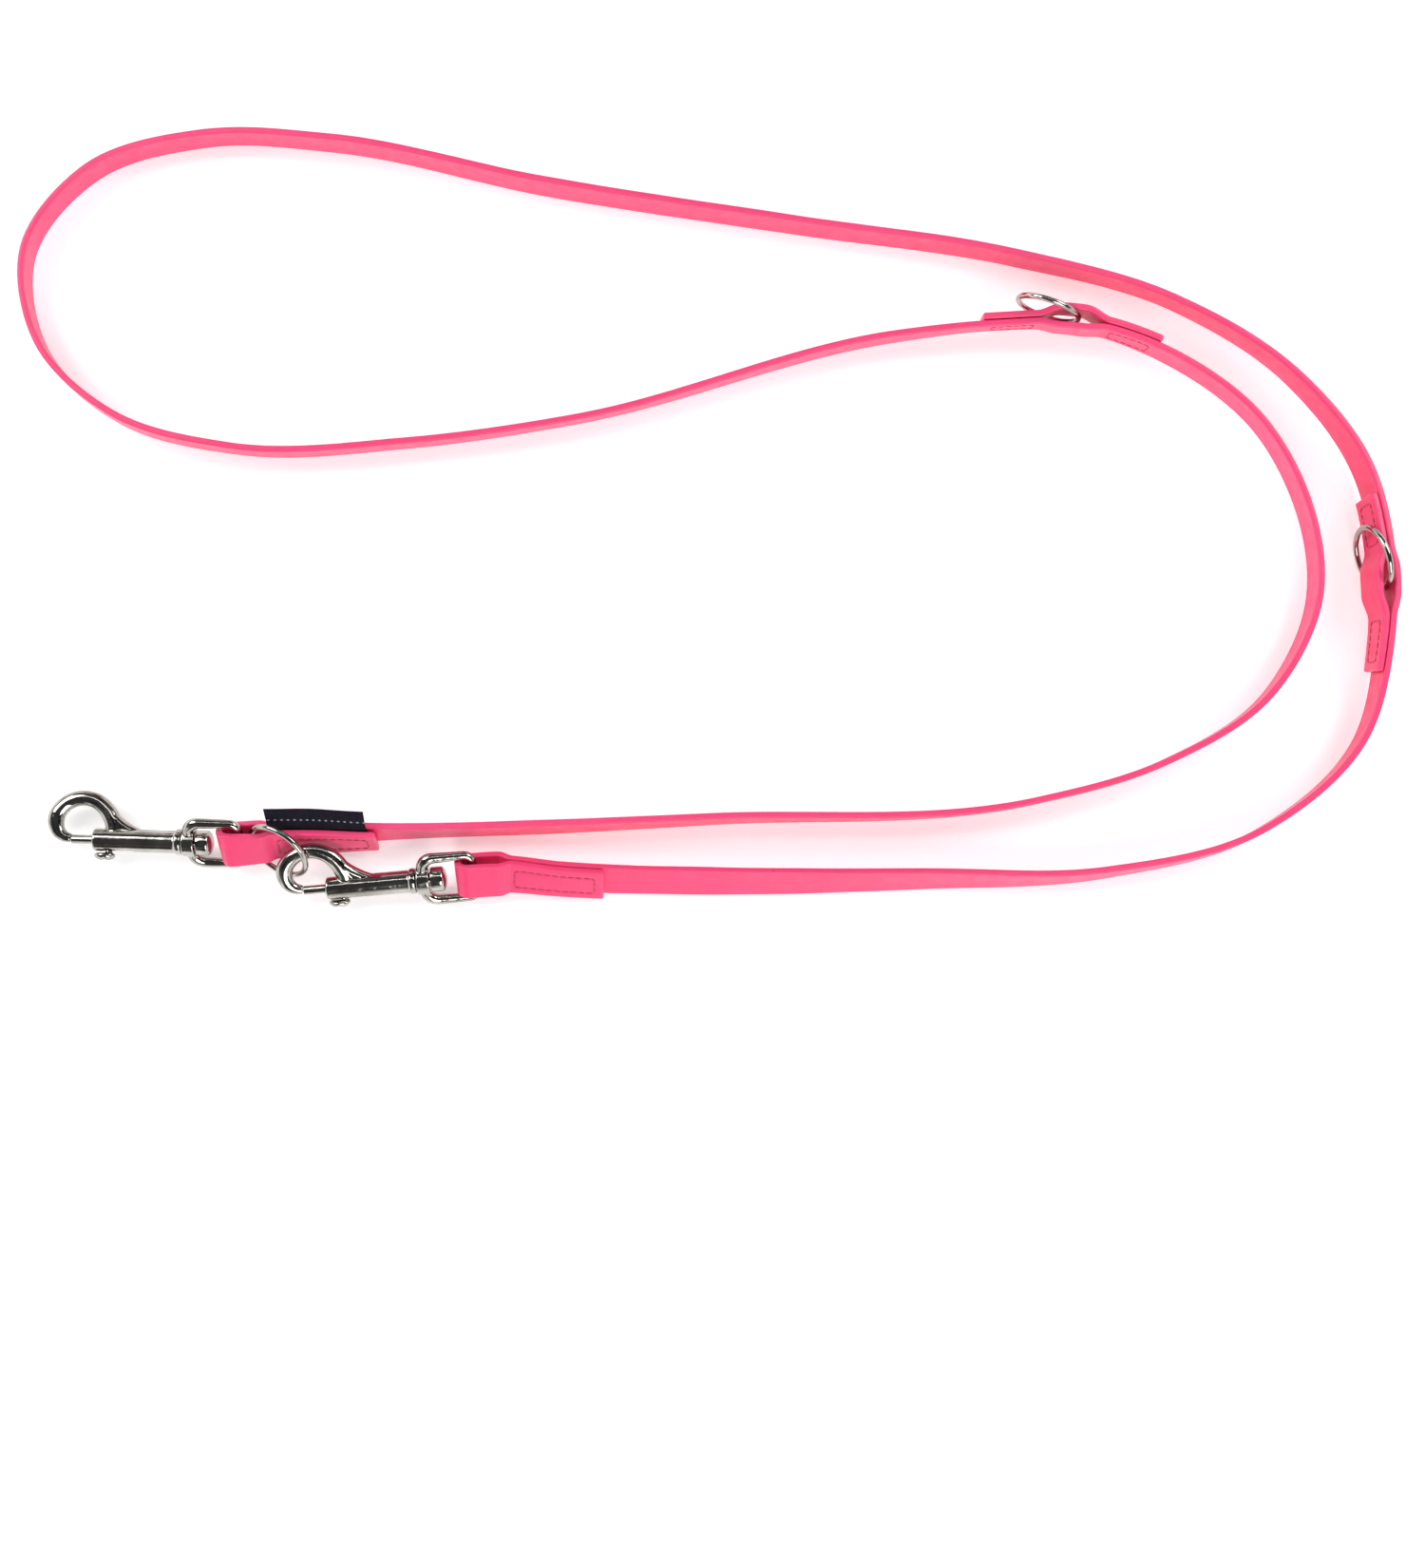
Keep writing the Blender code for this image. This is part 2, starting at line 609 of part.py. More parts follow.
def build_hook(name, swivel):
    """Barrel and hook in one casting, bored for the bolt, with a slot for the thumb stem."""
    def at(distance):
        return distance - EYE_COLLAR_AT

    barrel = [
        (at(BARREL_REAR), FLANGE_R - BEVEL),
        (at(BARREL_REAR) + BEVEL, FLANGE_R),
        (at(BARREL_REAR) + BARREL_FLANGE - BEVEL, FLANGE_R),
        (at(BARREL_REAR) + BARREL_FLANGE, BARREL_R),
        (at(BARREL_FRONT) - BEVEL, BARREL_R),
        (at(BARREL_FRONT), BARREL_R - BEVEL),
    ]
    body = mesh_object(name, *turned(barrel, 28), "nickel", swivel)
    combine(body, cutter(name + "_web", *cast_bar(WEB_LINE), swivel), "UNION")
    combine(body, cutter(name + "_arm", *cast_bar(HOOK_LINE), swivel), "UNION")
    bore = [
        (at(BARREL_REAR) - MM, BORE_R),
        (at(BARREL_FRONT) - NOSE_WALL, BORE_R),
        (at(BARREL_FRONT) - NOSE_WALL + STEP, NOSE_BORE_R),
        (at(BARREL_FRONT) + 0.5 * MM, NOSE_BORE_R),
    ]
    combine(body, cutter(name + "_bore", *turned(bore, 20), swivel), "DIFFERENCE")
    room = STEM_R + SLOT_END_GAP
    low = at(STEM_AT) - BOLT_TRAVEL - room
    high = at(STEM_AT) + room
    wide = SLOT_HALF_WIDTH
    corners = [(low, -wide), (high, -wide), (high, wide), (low, wide)]
    bottom = [(x, -BARREL_R - MM, z) for x, z in corners]
    top = [(x, -BORE_R / 2, z) for x, z in corners]
    combine(body, cutter(name + "_slot", *loft([top, bottom]), swivel), "DIFFERENCE")
    return body


def build_post(name, swivel):
    """The riveted post: a plug in the barrel, a neck through the eye's collar and a round head."""
    def at(distance):
        return distance - EYE_COLLAR_AT

    profile = [
        (at(HEAD_FROM), HEAD_R * HEAD_DOME[0]),
        (at(HEAD_FROM) + HEAD_RISE / 3, HEAD_R * HEAD_DOME[1]),
        (at(HEAD_FROM) + HEAD_RISE, HEAD_R),
        (at(HEAD_TO) - SMALL_BEVEL, HEAD_R),
        (at(HEAD_TO), HEAD_R - SMALL_BEVEL),
        (at(HEAD_TO) + STEP, NECK_R),
        (at(BARREL_REAR), NECK_R),
        (at(BARREL_REAR) + STEP, BORE_R - GAP),
        (at(PLUG_TO), BORE_R - GAP),
    ]
    return mesh_object(name, *turned(profile, 24), "nickel", swivel)


def build_bolt(name, swivel):
    """The gate bolt: a rod through the barrel's nose with a wider plunger behind it. Its origin is on
    the barrel's axis, where the thumb stem stands."""
    nose = BARREL_FRONT - NOSE_WALL - GAP
    profile = [
        (PLUNGER_REAR - STEM_AT, PLUNGER_R),
        (nose - STEM_AT, PLUNGER_R),
        (nose - STEM_AT + STEP, BOLT_R),
        (TIP_SEAT - GAP - STEM_AT - SMALL_BEVEL, BOLT_R),
        (TIP_SEAT - GAP - STEM_AT, BOLT_R - SMALL_BEVEL),
    ]
    item = mesh_object(name, *turned(profile, 20), "nickel", swivel)
    item.location = (STEM_AT - EYE_COLLAR_AT, 0.0, 0.0)
    return item


def build_knob(name, bolt):
    """The thumb knob: a stem through the barrel's slot and a low mushroom head, longer forwards."""
    profile = [
        (PLUNGER_R + GAP, STEM_R),
        (BARREL_R + KNOB_CLEAR, STEM_R),
    ]
    profile += [(BARREL_R + KNOB_CLEAR + STEP + out, radius) for out, radius in KNOB_HEAD]
    points, faces = turned(profile, 20)
    shaped = []
    for out, a, b in points:
        head = out > BARREL_R + KNOB_CLEAR + STEP / 2
        forward = a * KNOB_LONG + KNOB_FORWARD if head else a
        shaped.append((forward, -out, b * KNOB_NARROW if head else b))
    return mesh_object(name, shaped, faces, "nickel", bolt)


def build_spring(name, swivel):
    """The coil spring between the post's plug and the bolt's plunger."""
    start = PLUG_TO + GAP + SPRING_WIRE_R - EYE_COLLAR_AT
    end = PLUNGER_REAR - GAP - SPRING_WIRE_R - EYE_COLLAR_AT
    steps = SPRING_TURNS * 10
    curve = bpy.data.curves.new(name, "CURVE")
    curve.dimensions = "3D"
    curve.bevel_depth = SPRING_WIRE_R
    curve.bevel_resolution = 1
    curve.use_fill_caps = True
    spline = curve.splines.new("POLY")
    spline.points.add(steps)
    for i, knot in enumerate(spline.points):
        turn = 2 * math.pi * SPRING_TURNS * i / steps
        x = start + (end - start) * i / steps
        knot.co = (x, SPRING_R * math.cos(turn), SPRING_R * math.sin(turn), 1.0)
    return finish_object(bpy.data.objects.new(name, curve), "spring", swivel)


def build_snap(name, strap, layout):
    """One swivel bolt snap, hung by its eye's end bar in a folded end of the strap."""
    first = name == "snap_1"
    s = layout["bar"] if first else strap.length - layout["bar"]
    middle = -(LAYER_STEP + LABEL_ROOM) / 2 if first else LAYER_STEP / 2
    bar = Vector(strap.point(s, off=middle))
    width = Vector(strap.frame(s)[2])
    pivot = place_empty(name + "_eye_pivot", layout["axis"], width, bar)
    axis = Vector(layout["axis"]).normalized()
    hook_side = Vector(layout["hook"])
    normal = axis.cross(hook_side)
    swivel = place_empty(name + "_swivel", axis, normal, bar + EYE_COLLAR_AT * axis, pivot)
    build_eye(name + "_eye", pivot)
    build_hook(name + "_hook", swivel)
    build_post(name + "_swivel_post", swivel)
    bolt = build_bolt(name + "_gate_bolt", swivel)
    build_knob(name + "_thumb_knob", bolt)
    build_spring(name + "_bolt_spring", swivel)


def build_seams(strap, middle_at, side_at):
    """The six box seams, each on the face that shows."""
    outside = STRAP_THICK / 2 + GAP + THREAD_R
    first_off = -(LAYER_STEP + LABEL_ROOM) - outside
    start = FOLD_LOOP_END + SEAM_OFFSET
    build_seam("seam_first_fold", strap, start, FIRST_FOLD_LENGTH - SEAM_MARGIN, first_off)
    end = strap.length - start
    begin = strap.length - SECOND_FOLD_LENGTH + SEAM_MARGIN
    build_seam("seam_second_fold", strap, begin, end, LAYER_STEP + outside)
    for name, middle, off in (("middle", middle_at, outside), ("side", side_at, -LAYER_STEP - outside)):
        near = CHANNEL_HALF + SEAM_OFFSET
        far = PATCH_LENGTH / 2 - SEAM_MARGIN
        build_seam(f"seam_{name}_patch_1", strap, middle - far, middle - near, off)
        build_seam(f"seam_{name}_patch_2", strap, middle + near, middle + far, off)


def main():
    clear_scene()
    strap = Strap()
    middle_at = strap.nearest(MIDDLE_CHANNEL)
    side_at = strap.nearest(SIDE_CHANNEL)
    build_strap(strap, [middle_at, side_at])
    build_patch("ring_patch_middle", strap, middle_at)
    build_patch("ring_patch_side", strap, side_at)
    build_seams(strap, middle_at, side_at)
    build_label(strap)
    build_end_ring(strap)
    build_patch_ring("ring_middle", strap, middle_at, 1, MIDDLE_RING)
    build_patch_ring("ring_side", strap, side_at, -1, SIDE_RING)
    for name, layout in SNAPS.items():
        build_snap(name, strap, layout)


main()
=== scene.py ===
"""Looks of the training leash: coated strap with sewn folds and ring patches, woven label, individual
stitches, and polished cast snaps and rings. Metres, +Z up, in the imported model's frame."""

import json
import math

import bmesh
import bpy
import numpy as np
from mathutils import Matrix, Vector


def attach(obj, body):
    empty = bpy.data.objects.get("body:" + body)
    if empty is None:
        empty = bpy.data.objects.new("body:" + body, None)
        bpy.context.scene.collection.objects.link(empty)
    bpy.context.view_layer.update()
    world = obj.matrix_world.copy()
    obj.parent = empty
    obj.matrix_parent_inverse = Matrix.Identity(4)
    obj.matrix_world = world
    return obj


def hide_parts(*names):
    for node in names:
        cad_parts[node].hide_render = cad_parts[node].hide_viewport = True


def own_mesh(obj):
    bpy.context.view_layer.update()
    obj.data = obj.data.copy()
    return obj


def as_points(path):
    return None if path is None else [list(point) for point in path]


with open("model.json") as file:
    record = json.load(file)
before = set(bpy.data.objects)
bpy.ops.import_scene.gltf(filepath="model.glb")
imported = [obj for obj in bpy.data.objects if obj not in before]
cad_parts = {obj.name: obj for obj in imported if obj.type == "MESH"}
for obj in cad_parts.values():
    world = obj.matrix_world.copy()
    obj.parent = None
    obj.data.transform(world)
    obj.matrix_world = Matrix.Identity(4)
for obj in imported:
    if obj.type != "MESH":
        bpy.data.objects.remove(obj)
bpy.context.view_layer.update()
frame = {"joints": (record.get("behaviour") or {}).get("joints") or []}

MM = 0.001
HAIR = 0.00001  # keeps the two points of a profile's square step apart

# Strap
STRAP_WIDTH = 0.0130
STRAP_THICK = 0.0022
GAP = 0.0003
FLOOR_GAP = 0.00016
LAYER_STEP = STRAP_THICK + GAP
EDGE_ROUND = 0.0006  # corner radius of the strap's section
HIGHLIGHT_EDGE = 0.0011  # how far in the paler colour, a painted highlight, reaches from an edge and from a cut end
HIGHLIGHT_CUT = 0.0012
CUT_ROWS = (0.0, 0.00012, 0.00025, 0.00045)  # sections close to a cut end, where its corner is rounded
CUT_CLEAR = 0.0006
CUT_SHRINK = 0.00042

# Route of the strap's middle line: x, y, lean of the strap in degrees (top edge to the left of travel
# is positive) and the height of its lower edge above the floor.
ROUTE = [
    (-0.1587, -0.1106, 50, 0.0024),
    (-0.1457, -0.1092, 38, 0.0016),
    (-0.1267, -0.1076, 26, 0.0002),
    (-0.1047, -0.1070, 14, 0.0000),
    (-0.0487, -0.1053, 9, 0.0000),
    (0.0033, -0.1028, 5, 0.0000),
    (0.1113, -0.0966, -2, 0.0000),
    (0.1533, -0.0841, -1, 0.0000),
    (0.1883, -0.0616, -1, 0.0000),
    (0.2043, -0.0316, -3, 0.0000),
    (0.1873, 0.0312, 0, 0.0002),
    (0.1573, 0.0537, 1, 0.0016),
    (0.1273, 0.0638, 6, 0.0028),
    (0.0993, 0.0640, 9, 0.0026),
    (0.0653, 0.0607, 6, 0.0008),
    (-0.0427, 0.0324, 8, 0.0000),
    (-0.0997, 0.0242, 6, 0.0000),
    (-0.1587, 0.0224, 4, 0.0000),
    (-0.1987, 0.0337, 1, 0.0000),
    (-0.2237, 0.0574, -2, 0.0000),
    (-0.2292, 0.0904, -3, 0.0000),
    (-0.2087, 0.1179, -2, 0.0000),
    (-0.1707, 0.1299, -2, 0.0000),
    (-0.1267, 0.1284, 0, 0.0000),
    (-0.0547, 0.1134, 3, 0.0000),
    (0.0333, 0.0994, 2, 0.0000),
    (0.1053, 0.0884, 0, 0.0000),
    (0.1603, 0.0724, -3, 0.0000),
    (0.1993, 0.0469, 1, 0.0002),
    (0.2218, 0.0144, 8, 0.0020),
    (0.2275, -0.0156, 11, 0.0033),
    (0.2271, -0.0436, 6, 0.0027),
    (0.2193, -0.0756, 0, 0.0004),
    (0.1853, -0.1066, -2, 0.0001),
    (0.1333, -0.1206, -7, 0.0000),
    (0.0733, -0.1226, -22, 0.0000),
    (0.0033, -0.1233, -35, 0.0000),
    (-0.0467, -0.1218, -40, 0.0002),
    (-0.0667, -0.1202, -46, 0.0012),
    (-0.0805, -0.1212, -51, 0.0021),
]
ROUTE_STEP = 0.0010
PLAIN_STEP = 0.0030  # spacing of the strap's sections where nothing happens
SEWN_STEP = 0.0012  # and in the folds, the patches and the channels
FINE_STEP = 0.00035  # and where a seam runs across the strap

# Folded ends
FOLD_LOOP_R = 0.0031
FOLD_LOOP_END = 0.0175
FOLD_LOOP_FULL = 0.0130
FIRST_FOLD_LENGTH = 0.0510
SECOND_FOLD_LENGTH = 0.0480
LABEL_ROOM = 0.0008
FIRST_LAYER_STEP = LAYER_STEP + LABEL_ROOM  # the label lies between the first fold's layers

# Ring patches
PATCH_LENGTH = 0.0600
CHANNEL_FLAT = 0.0035
CHANNEL_HALF = 0.0120
CHANNEL_WIDE = 0.0041
CHANNEL_SHARE = 0.35
MIDDLE_CHANNEL = (0.1247, 0.0631)
SIDE_CHANNEL = (0.2278, -0.0241)

# Rings
RING_R = 0.0106
RING_WIRE_R = 0.0010
RING_STEPS = 144
MIDDLE_RING = {"skew": 14.0, "lean": -3.0}
SIDE_RING = {"skew": 17.0, "lean": -8.0}
RING_AXIS_OFF = 0.0087
END_RING_HEADING = 148.2
END_RING_TILT = 123.1
WELD_HALF = 0.0009  # half length of the weld's swelling, and its share of the wire's radius
WELD_SWELL = 0.05
WELD_DIP = 0.02  # and that of the neck beside it

# Seams
SEAM_HALF_WIDTH = 0.0036
SEAM_CORNER = 0.0012
SEAM_MARGIN = 0.0030
SEAM_OFFSET = 0.0010
SEAM_REACH = 0.0020  # how far beyond a seam's ends its groove is worked out
THREAD_R = 0.00017
THREAD_SIDES = 8
THREAD_ROWS = 9  # sections along one stitch
THREAD_TWIST = 0.6  # how far the twist runs along the thread for each length round it
STITCH_PITCH = 0.0026
STITCH_SHARE = 0.86  # of the pitch that the thread covers
STITCH_RISE = 0.00008
STITCH_DIP = 0.00045
GROOVE_DEPTH = 0.00014
GROOVE_WIDTH = 0.00042

# Label
LABEL_FROM = 0.0160
LABEL_TO = 0.0485
LABEL_LOW = 0.0010
LABEL_HIGH = 0.0160
LABEL_LEAN = 42.0
LABEL_CLEAR = 0.0010
LABEL_LAYER = 0.00017  # one layer's thickness, and its middle's distance from the label's middle
LABEL_LAYER_OFF = 0.00016
LABEL_ROWS = 20  # steps from the strap's edge to the label's top

# Bolt snap: distances from the middle of the eye's end bar along the barrel's axis
EYE_WIRE_R = 0.0015
EYE_BAR_R = 0.0020
EYE_HALF_WIDTH = 0.0086
EYE_CORNER = 0.0026
EYE_SHOULDER = 0.0042
EYE_COLLAR_AT = 0.0168
EYE_COLLAR_HALF = 0.00205
EYE_COLLAR_R = 0.0047
EYE_HOLE_R = 0.0024
EYE_REAR_FLAT = 0.35
EYE_FRONT_FLAT = 0.25
EYE_SWELL = (0.55, 0.40)
HEAD_FROM = 0.0090
HEAD_TO = 0.0142
HEAD_R = 0.00415
HEAD_DOME = 0.0018
NECK_R = 0.0020
BARREL_REAR = 0.0192
BARREL_FLANGE = 0.0023
BARREL_FRONT = 0.0490
BARREL_R = 0.0038
FLANGE_R = 0.0043
BORE_R = 0.00255
NOSE_BORE_R = 0.0018
NOSE_WALL = 0.0022
CAST_CORNER = 0.0004
TURNED_CORNER = 0.0003
TIP_SEAT = 0.0570
BOLT_R = 0.0015
PLUNGER_R = 0.00225
PLUNGER_REAR = 0.0358
STEM_AT = 0.0440
STEM_R = 0.00115
KNOB_CLEAR = 0.00045
KNOB_DIP = (0.00035, 0.0010, 0.0022)  # depth, half width, and the height where it is full
KNOB_HEAD = (  # height above the head's underside, and radius
    (HAIR, 0.0026),
    (0.00055, 0.0034),
    (0.00135, 0.0033),
    (0.00215, 0.0025),
    (0.00265, 0.0012),
    (0.00268, 0.0003),
)
KNOB_LONG = 1.05
KNOB_NARROW = 0.78
KNOB_FORWARD = 0.0014
BOLT_TRAVEL = 0.0070
SLOT_HALF_WIDTH = 0.0015
SLOT_END_GAP = 0.0005
SPRING_R = 0.0019
SPRING_WIRE_R = 0.00025
SPRING_TURNS = 8
SPRING_STEPS = 28  # sections in one turn
PLUG_TO = 0.0234
CAST_VOXEL = 0.21  # millimetres
HOOK_SIDES = {"snap_1": (0.0, 1.0, 0.04), "snap_2": (0.0, 1.0, 0.47)}

# The hook's middle line in millimetres: distance from the eye's end bar, distance from the barrel's
# axis, half width in the hook's plane and half thickness across it.
HOOK_LINE = [
    (57.0, 0.30, 1.50, 1.50),
    (59.4, 0.90, 1.95, 1.80),
    (61.4, 2.60, 2.40, 2.10),
    (62.3, 5.40, 2.70, 2.25),
    (61.8, 8.40, 2.75, 2.30),
    (59.7, 11.1, 2.65, 2.30),
    (56.3, 13.1, 2.60, 2.30),
    (52.4, 13.7, 2.60, 2.30),
    (48.5, 12.6, 2.70, 2.30),
    (45.4, 10.1, 2.80, 2.35),
    (43.4, 6.90, 2.90, 2.50),
    (42.3, 3.80, 3.00, 2.60),
    (41.8, 1.00, 3.00, 2.70),
]

# The web that spreads the hook's root along the barrel, in the same columns.
WEB_LINE = [
    (45.0, 10.6, 1.10, 1.80),
    (42.7, 7.80, 1.70, 2.10),
    (40.2, 5.30, 2.00, 2.20),
    (37.2, 3.60, 1.80, 2.10),
    (34.0, 2.70, 1.20, 1.80),
]

# Camera and light
CAMERA_AT = (0.0033, -0.1556, 0.730)
CAMERA_TILT = 5.094
CAMERA_LENS = 55.2
FLOOR_SIZE = 3.0
FLOOR_GLOW = 0.42
SKY_STRENGTH = 1.9
SKY_LOW = (0.80, 0.80, 0.80)
SKY_HIGH = (0.03, 0.03, 0.035)
SKY_LEVELS = ((0.16, 0.75), (0.27, 0.55), (0.38, 0.08), (0.75, 0.04))  # height on the ramp and grey
LAMPS = (  # name, place, width, depth and power in watts
    ("lamp_left", (-1.1, 0.5, 1.1), 0.8, 0.8, 12.0),
    ("lamp_right", (1.1, 0.6, 1.1), 0.7, 0.7, 10.0),
    ("lamp_front", (0.3, -1.2, 1.0), 0.9, 0.9, 13.0),
    ("lamp_strip", (0.0, 0.52, 1.5), 1.6, 0.10, 2.0),
)


# ---------------------------------------------------------------- the strap's line


def smooth_line(knots, spacing):
    """Rows every spacing along a smooth curve through the knots."""
    rows = np.array(knots, float)
    chords = np.linalg.norm(np.diff(rows[:, :2], axis=0), axis=1)
    at = np.concatenate([[0.0], np.cumsum(chords)])
    slopes = np.gradient(rows, at, axis=0)
    want = np.linspace(0.0, at[-1], int(round(at[-1] / spacing)) + 1)
    i = np.clip(np.searchsorted(at, want, side="right") - 1, 0, len(at) - 2)
    span = (at[i + 1] - at[i])[:, None]
    t = (want[:, None] - at[i][:, None]) / span
    start = (1 + 2 * t) * (1 - t) ** 2 * rows[i] + t * (1 - t) ** 2 * span * slopes[i]
    end = t * t * (3 - 2 * t) * rows[i + 1] + t * t * (t - 1) * span * slopes[i + 1]
    return start + end


class Strap:
    """The strap's reference line: its place, width direction and face direction at any length."""

    def __init__(self):
        line = smooth_line(ROUTE, ROUTE_STEP)
        lean = np.radians(line[:, 2])
        half = STRAP_WIDTH / 2 * np.cos(lean) + STRAP_THICK / 2 * np.abs(np.sin(lean))
        self.place = np.column_stack([line[:, :2], half + line[:, 3] + FLOOR_GAP])
        steps = np.linalg.norm(np.diff(self.place, axis=0), axis=1)
        self.length_at = np.concatenate([[0.0], np.cumsum(steps)])
        self.length = self.length_at[-1]
        along = np.gradient(self.place, self.length_at, axis=0)
        along /= np.linalg.norm(along, axis=1)[:, None]
        left = np.cross([0.0, 0.0, 1.0], along)
        left /= np.linalg.norm(left, axis=1)[:, None]
        across = np.cos(lean)[:, None] * np.array([0.0, 0.0, 1.0]) + np.sin(lean)[:, None] * left
        across -= np.sum(across * along, axis=1)[:, None] * along
        across /= np.linalg.norm(across, axis=1)[:, None]
        self.along = along
        self.across = across
        self.face = np.cross(across, along)

    def frame(self, s):
        """Place, direction of travel, width direction and face direction at length s."""
        columns = (self.place, self.along, self.across, self.face)
        got = [np.array([np.interp(s, self.length_at, c[:, k]) for k in range(3)]) for c in columns]
        if s < 0:
            got[0] += s * got[1]
        if s > self.length:
            got[0] += (s - self.length) * got[1]
        return got

    def point(self, s, across=0.0, off=0.0):
        place, _, width, face = self.frame(s)
        return place + across * width + off * face

    def nearest(self, spot):
        return self.length_at[np.argmin(np.linalg.norm(self.place[:, :2] - np.array(spot), axis=1))]


def ease(t):
    t = min(max(t, 0.0), 1.0)
    return t * t * (3 - 2 * t)


def channel(distance):
    return 1.0 - ease((abs(distance) - CHANNEL_FLAT) / (CHANNEL_HALF - CHANNEL_FLAT))


def strap_shift(s, channels):
    return sum(CHANNEL_SHARE * (CHANNEL_WIDE - GAP) * channel(s - c) for c in channels)


def patch_shift(s, middle):
    return -LAYER_STEP - (1 - CHANNEL_SHARE) * (CHANNEL_WIDE - GAP) * channel(s - middle)


# ---------------------------------------------------------------- materials


class Nodes:
    """A new material's or world's node tree, with short calls for what is used here."""

    def __init__(self, owner, shader="Principled BSDF"):
        owner.use_nodes = True
        self.owner = owner
        self.tree = owner.node_tree
        self.shader = self.tree.nodes[shader]

    def make(self, kind, **values):
        item = self.tree.nodes.new(kind)
        for key, value in values.items():
            if hasattr(item, key):
                setattr(item, key, value)
            else:
                item.inputs[key.replace("_", " ").title()].default_value = value
        return item

    def link(self, source, target):
        self.tree.links.new(source, target)

    def set(self, **values):
        for key, value in values.items():
            self.shader.inputs[key.replace("_", " ").title()].default_value = value

    def place(self):
        return self.make("ShaderNodeTexCoord").outputs["Object"]

    def value(self, name):
        return self.make("ShaderNodeAttribute", attribute_name=name).outputs["Fac"]

    def noise(self, vector, scale, detail=3.0, roughness=0.5):
        item = self.make("ShaderNodeTexNoise", scale=scale, detail=detail, roughness=roughness)
        self.link(vector, item.inputs["Vector"])
        return item.outputs["Fac"]

    def ramp(self, value, low, high, start=0.0, end=1.0):
        item = self.make("ShaderNodeMapRange", from_min=low, from_max=high, to_min=start, to_max=end)
        self.link(value, item.inputs["Value"])
        return item.outputs["Result"]

    def math(self, operation, a, b=None):
        item = self.make("ShaderNodeMath", operation=operation)
        for socket, value in zip(item.inputs, (a, b)):
            if value is None:
                continue
            if isinstance(value, (int, float)):
                socket.default_value = value
            else:
                self.link(value, socket)
        return item.outputs["Value"]

    def mix(self, factor, a, b):
        item = self.make("ShaderNodeMix", data_type="RGBA")
        self.link(factor, item.inputs["Factor"])
        for socket, value in ((item.inputs["A"], a), (item.inputs["B"], b)):
            if isinstance(value, tuple):
                socket.default_value = (*value, 1.0)
            else:
                self.link(value, socket)
        return item.outputs["Result"]

    def color(self, colour):
        self.link(colour, self.shader.inputs["Base Color"])

    def rough(self, value):
        self.link(value, self.shader.inputs["Roughness"])

    def bump(self, height, distance, strength=1.0, below=None):
        item = self.make("ShaderNodeBump", distance=distance, strength=strength)
        self.link(height, item.inputs["Height"])
        if below is not None:
            self.link(below, item.inputs["Normal"])
        return item.outputs["Normal"]

    def normal(self, value):
        self.link(value, self.shader.inputs["Normal"])


def ribs(nodes, value, pitch):
    """A wave from -1 to 1 with that pitch in metres."""
    return nodes.math("SINE", nodes.math("MULTIPLY", value, 2 * math.pi / pitch))


def strap_material():
    """Satin coated webbing: hot pink, a faint weave that shows through, soft grain, paler edges and cut
    ends as a painted highlight, and darker seam grooves as painted shade.
    """
    pink, light_pink, deep_pink = (0.88, 0.032, 0.150), (0.94, 0.045, 0.192), (0.78, 0.024, 0.112)
    edge_highlight_pink, groove_shade_pink, speck_pink = (1.0, 0.120, 0.290), (0.66, 0.028, 0.085), (0.52, 0.030, 0.075)
    nodes = Nodes(bpy.data.materials.new("coated_webbing"))
    place = nodes.place()
    base = nodes.mix(nodes.noise(place, 28.0, 4.0), pink, light_pink)
    blotch = nodes.ramp(nodes.noise(place, 160.0, 4.0, 0.6), 0.45, 0.75, 0.0, 0.35)
    base = nodes.mix(blotch, base, deep_pink)
    # painted highlight: a paler pink along the strap's edges and cut ends
    edge = nodes.ramp(nodes.value("edge"), 0.2, 1.0, 0.0, 0.30)
    base = nodes.mix(edge, base, edge_highlight_pink)
    # painted shade: a darker pink in the grooves that the seams pull in
    sewn = nodes.math("MULTIPLY", nodes.value("sewn"), 0.40)
    base = nodes.mix(sewn, base, groove_shade_pink)
    speck = nodes.ramp(nodes.noise(place, 520.0, 2.0), 0.735, 0.78, 0.0, 0.55)
    nodes.color(nodes.mix(speck, base, speck_pink))
    nodes.rough(nodes.ramp(nodes.noise(place, 240.0, 4.0), 0.3, 0.7, 0.36, 0.50))
    warp = ribs(nodes, nodes.value("along"), 0.0011)
    weft = ribs(nodes, nodes.value("across"), 0.0013)
    weave = nodes.math("MULTIPLY", warp, weft)
    grain = nodes.noise(place, 2600.0, 3.0)
    under = nodes.bump(weave, 0.000006)
    waves = nodes.bump(nodes.noise(place, 220.0, 2.0), 0.00012, 1.0, under)
    nodes.normal(nodes.bump(grain, 0.000035, 1.0, waves))
    nodes.set(coat_weight=0.18, coat_roughness=0.32)
    nodes.shader.inputs["Specular IOR Level"].default_value = 0.45
    return nodes.owner


def thread_material():
    """Twisted polyester thread, painted a darker pink than the strap as painted shade of the sunken
    stitches, with its twist in light and dark stripes of painted shade.
    """
    nodes = Nodes(bpy.data.materials.new("sewing_thread"))
    place = nodes.place()
    twist = ribs(nodes, nodes.value("along"), 0.00045)
    shade = nodes.ramp(twist, -1.0, 1.0)
    # painted shade: the thread's pink is darker than the strap's, in light and dark stripes along the twist
    nodes.color(nodes.mix(shade, (0.46, 0.020, 0.070), (0.74, 0.045, 0.135)))
    nodes.rough(nodes.ramp(nodes.noise(place, 1800.0), 0.3, 0.7, 0.55, 0.75))
    nodes.normal(nodes.bump(twist, 0.00004))
    nodes.set(sheen_weight=0.25, sheen_roughness=0.4)
    return nodes.owner


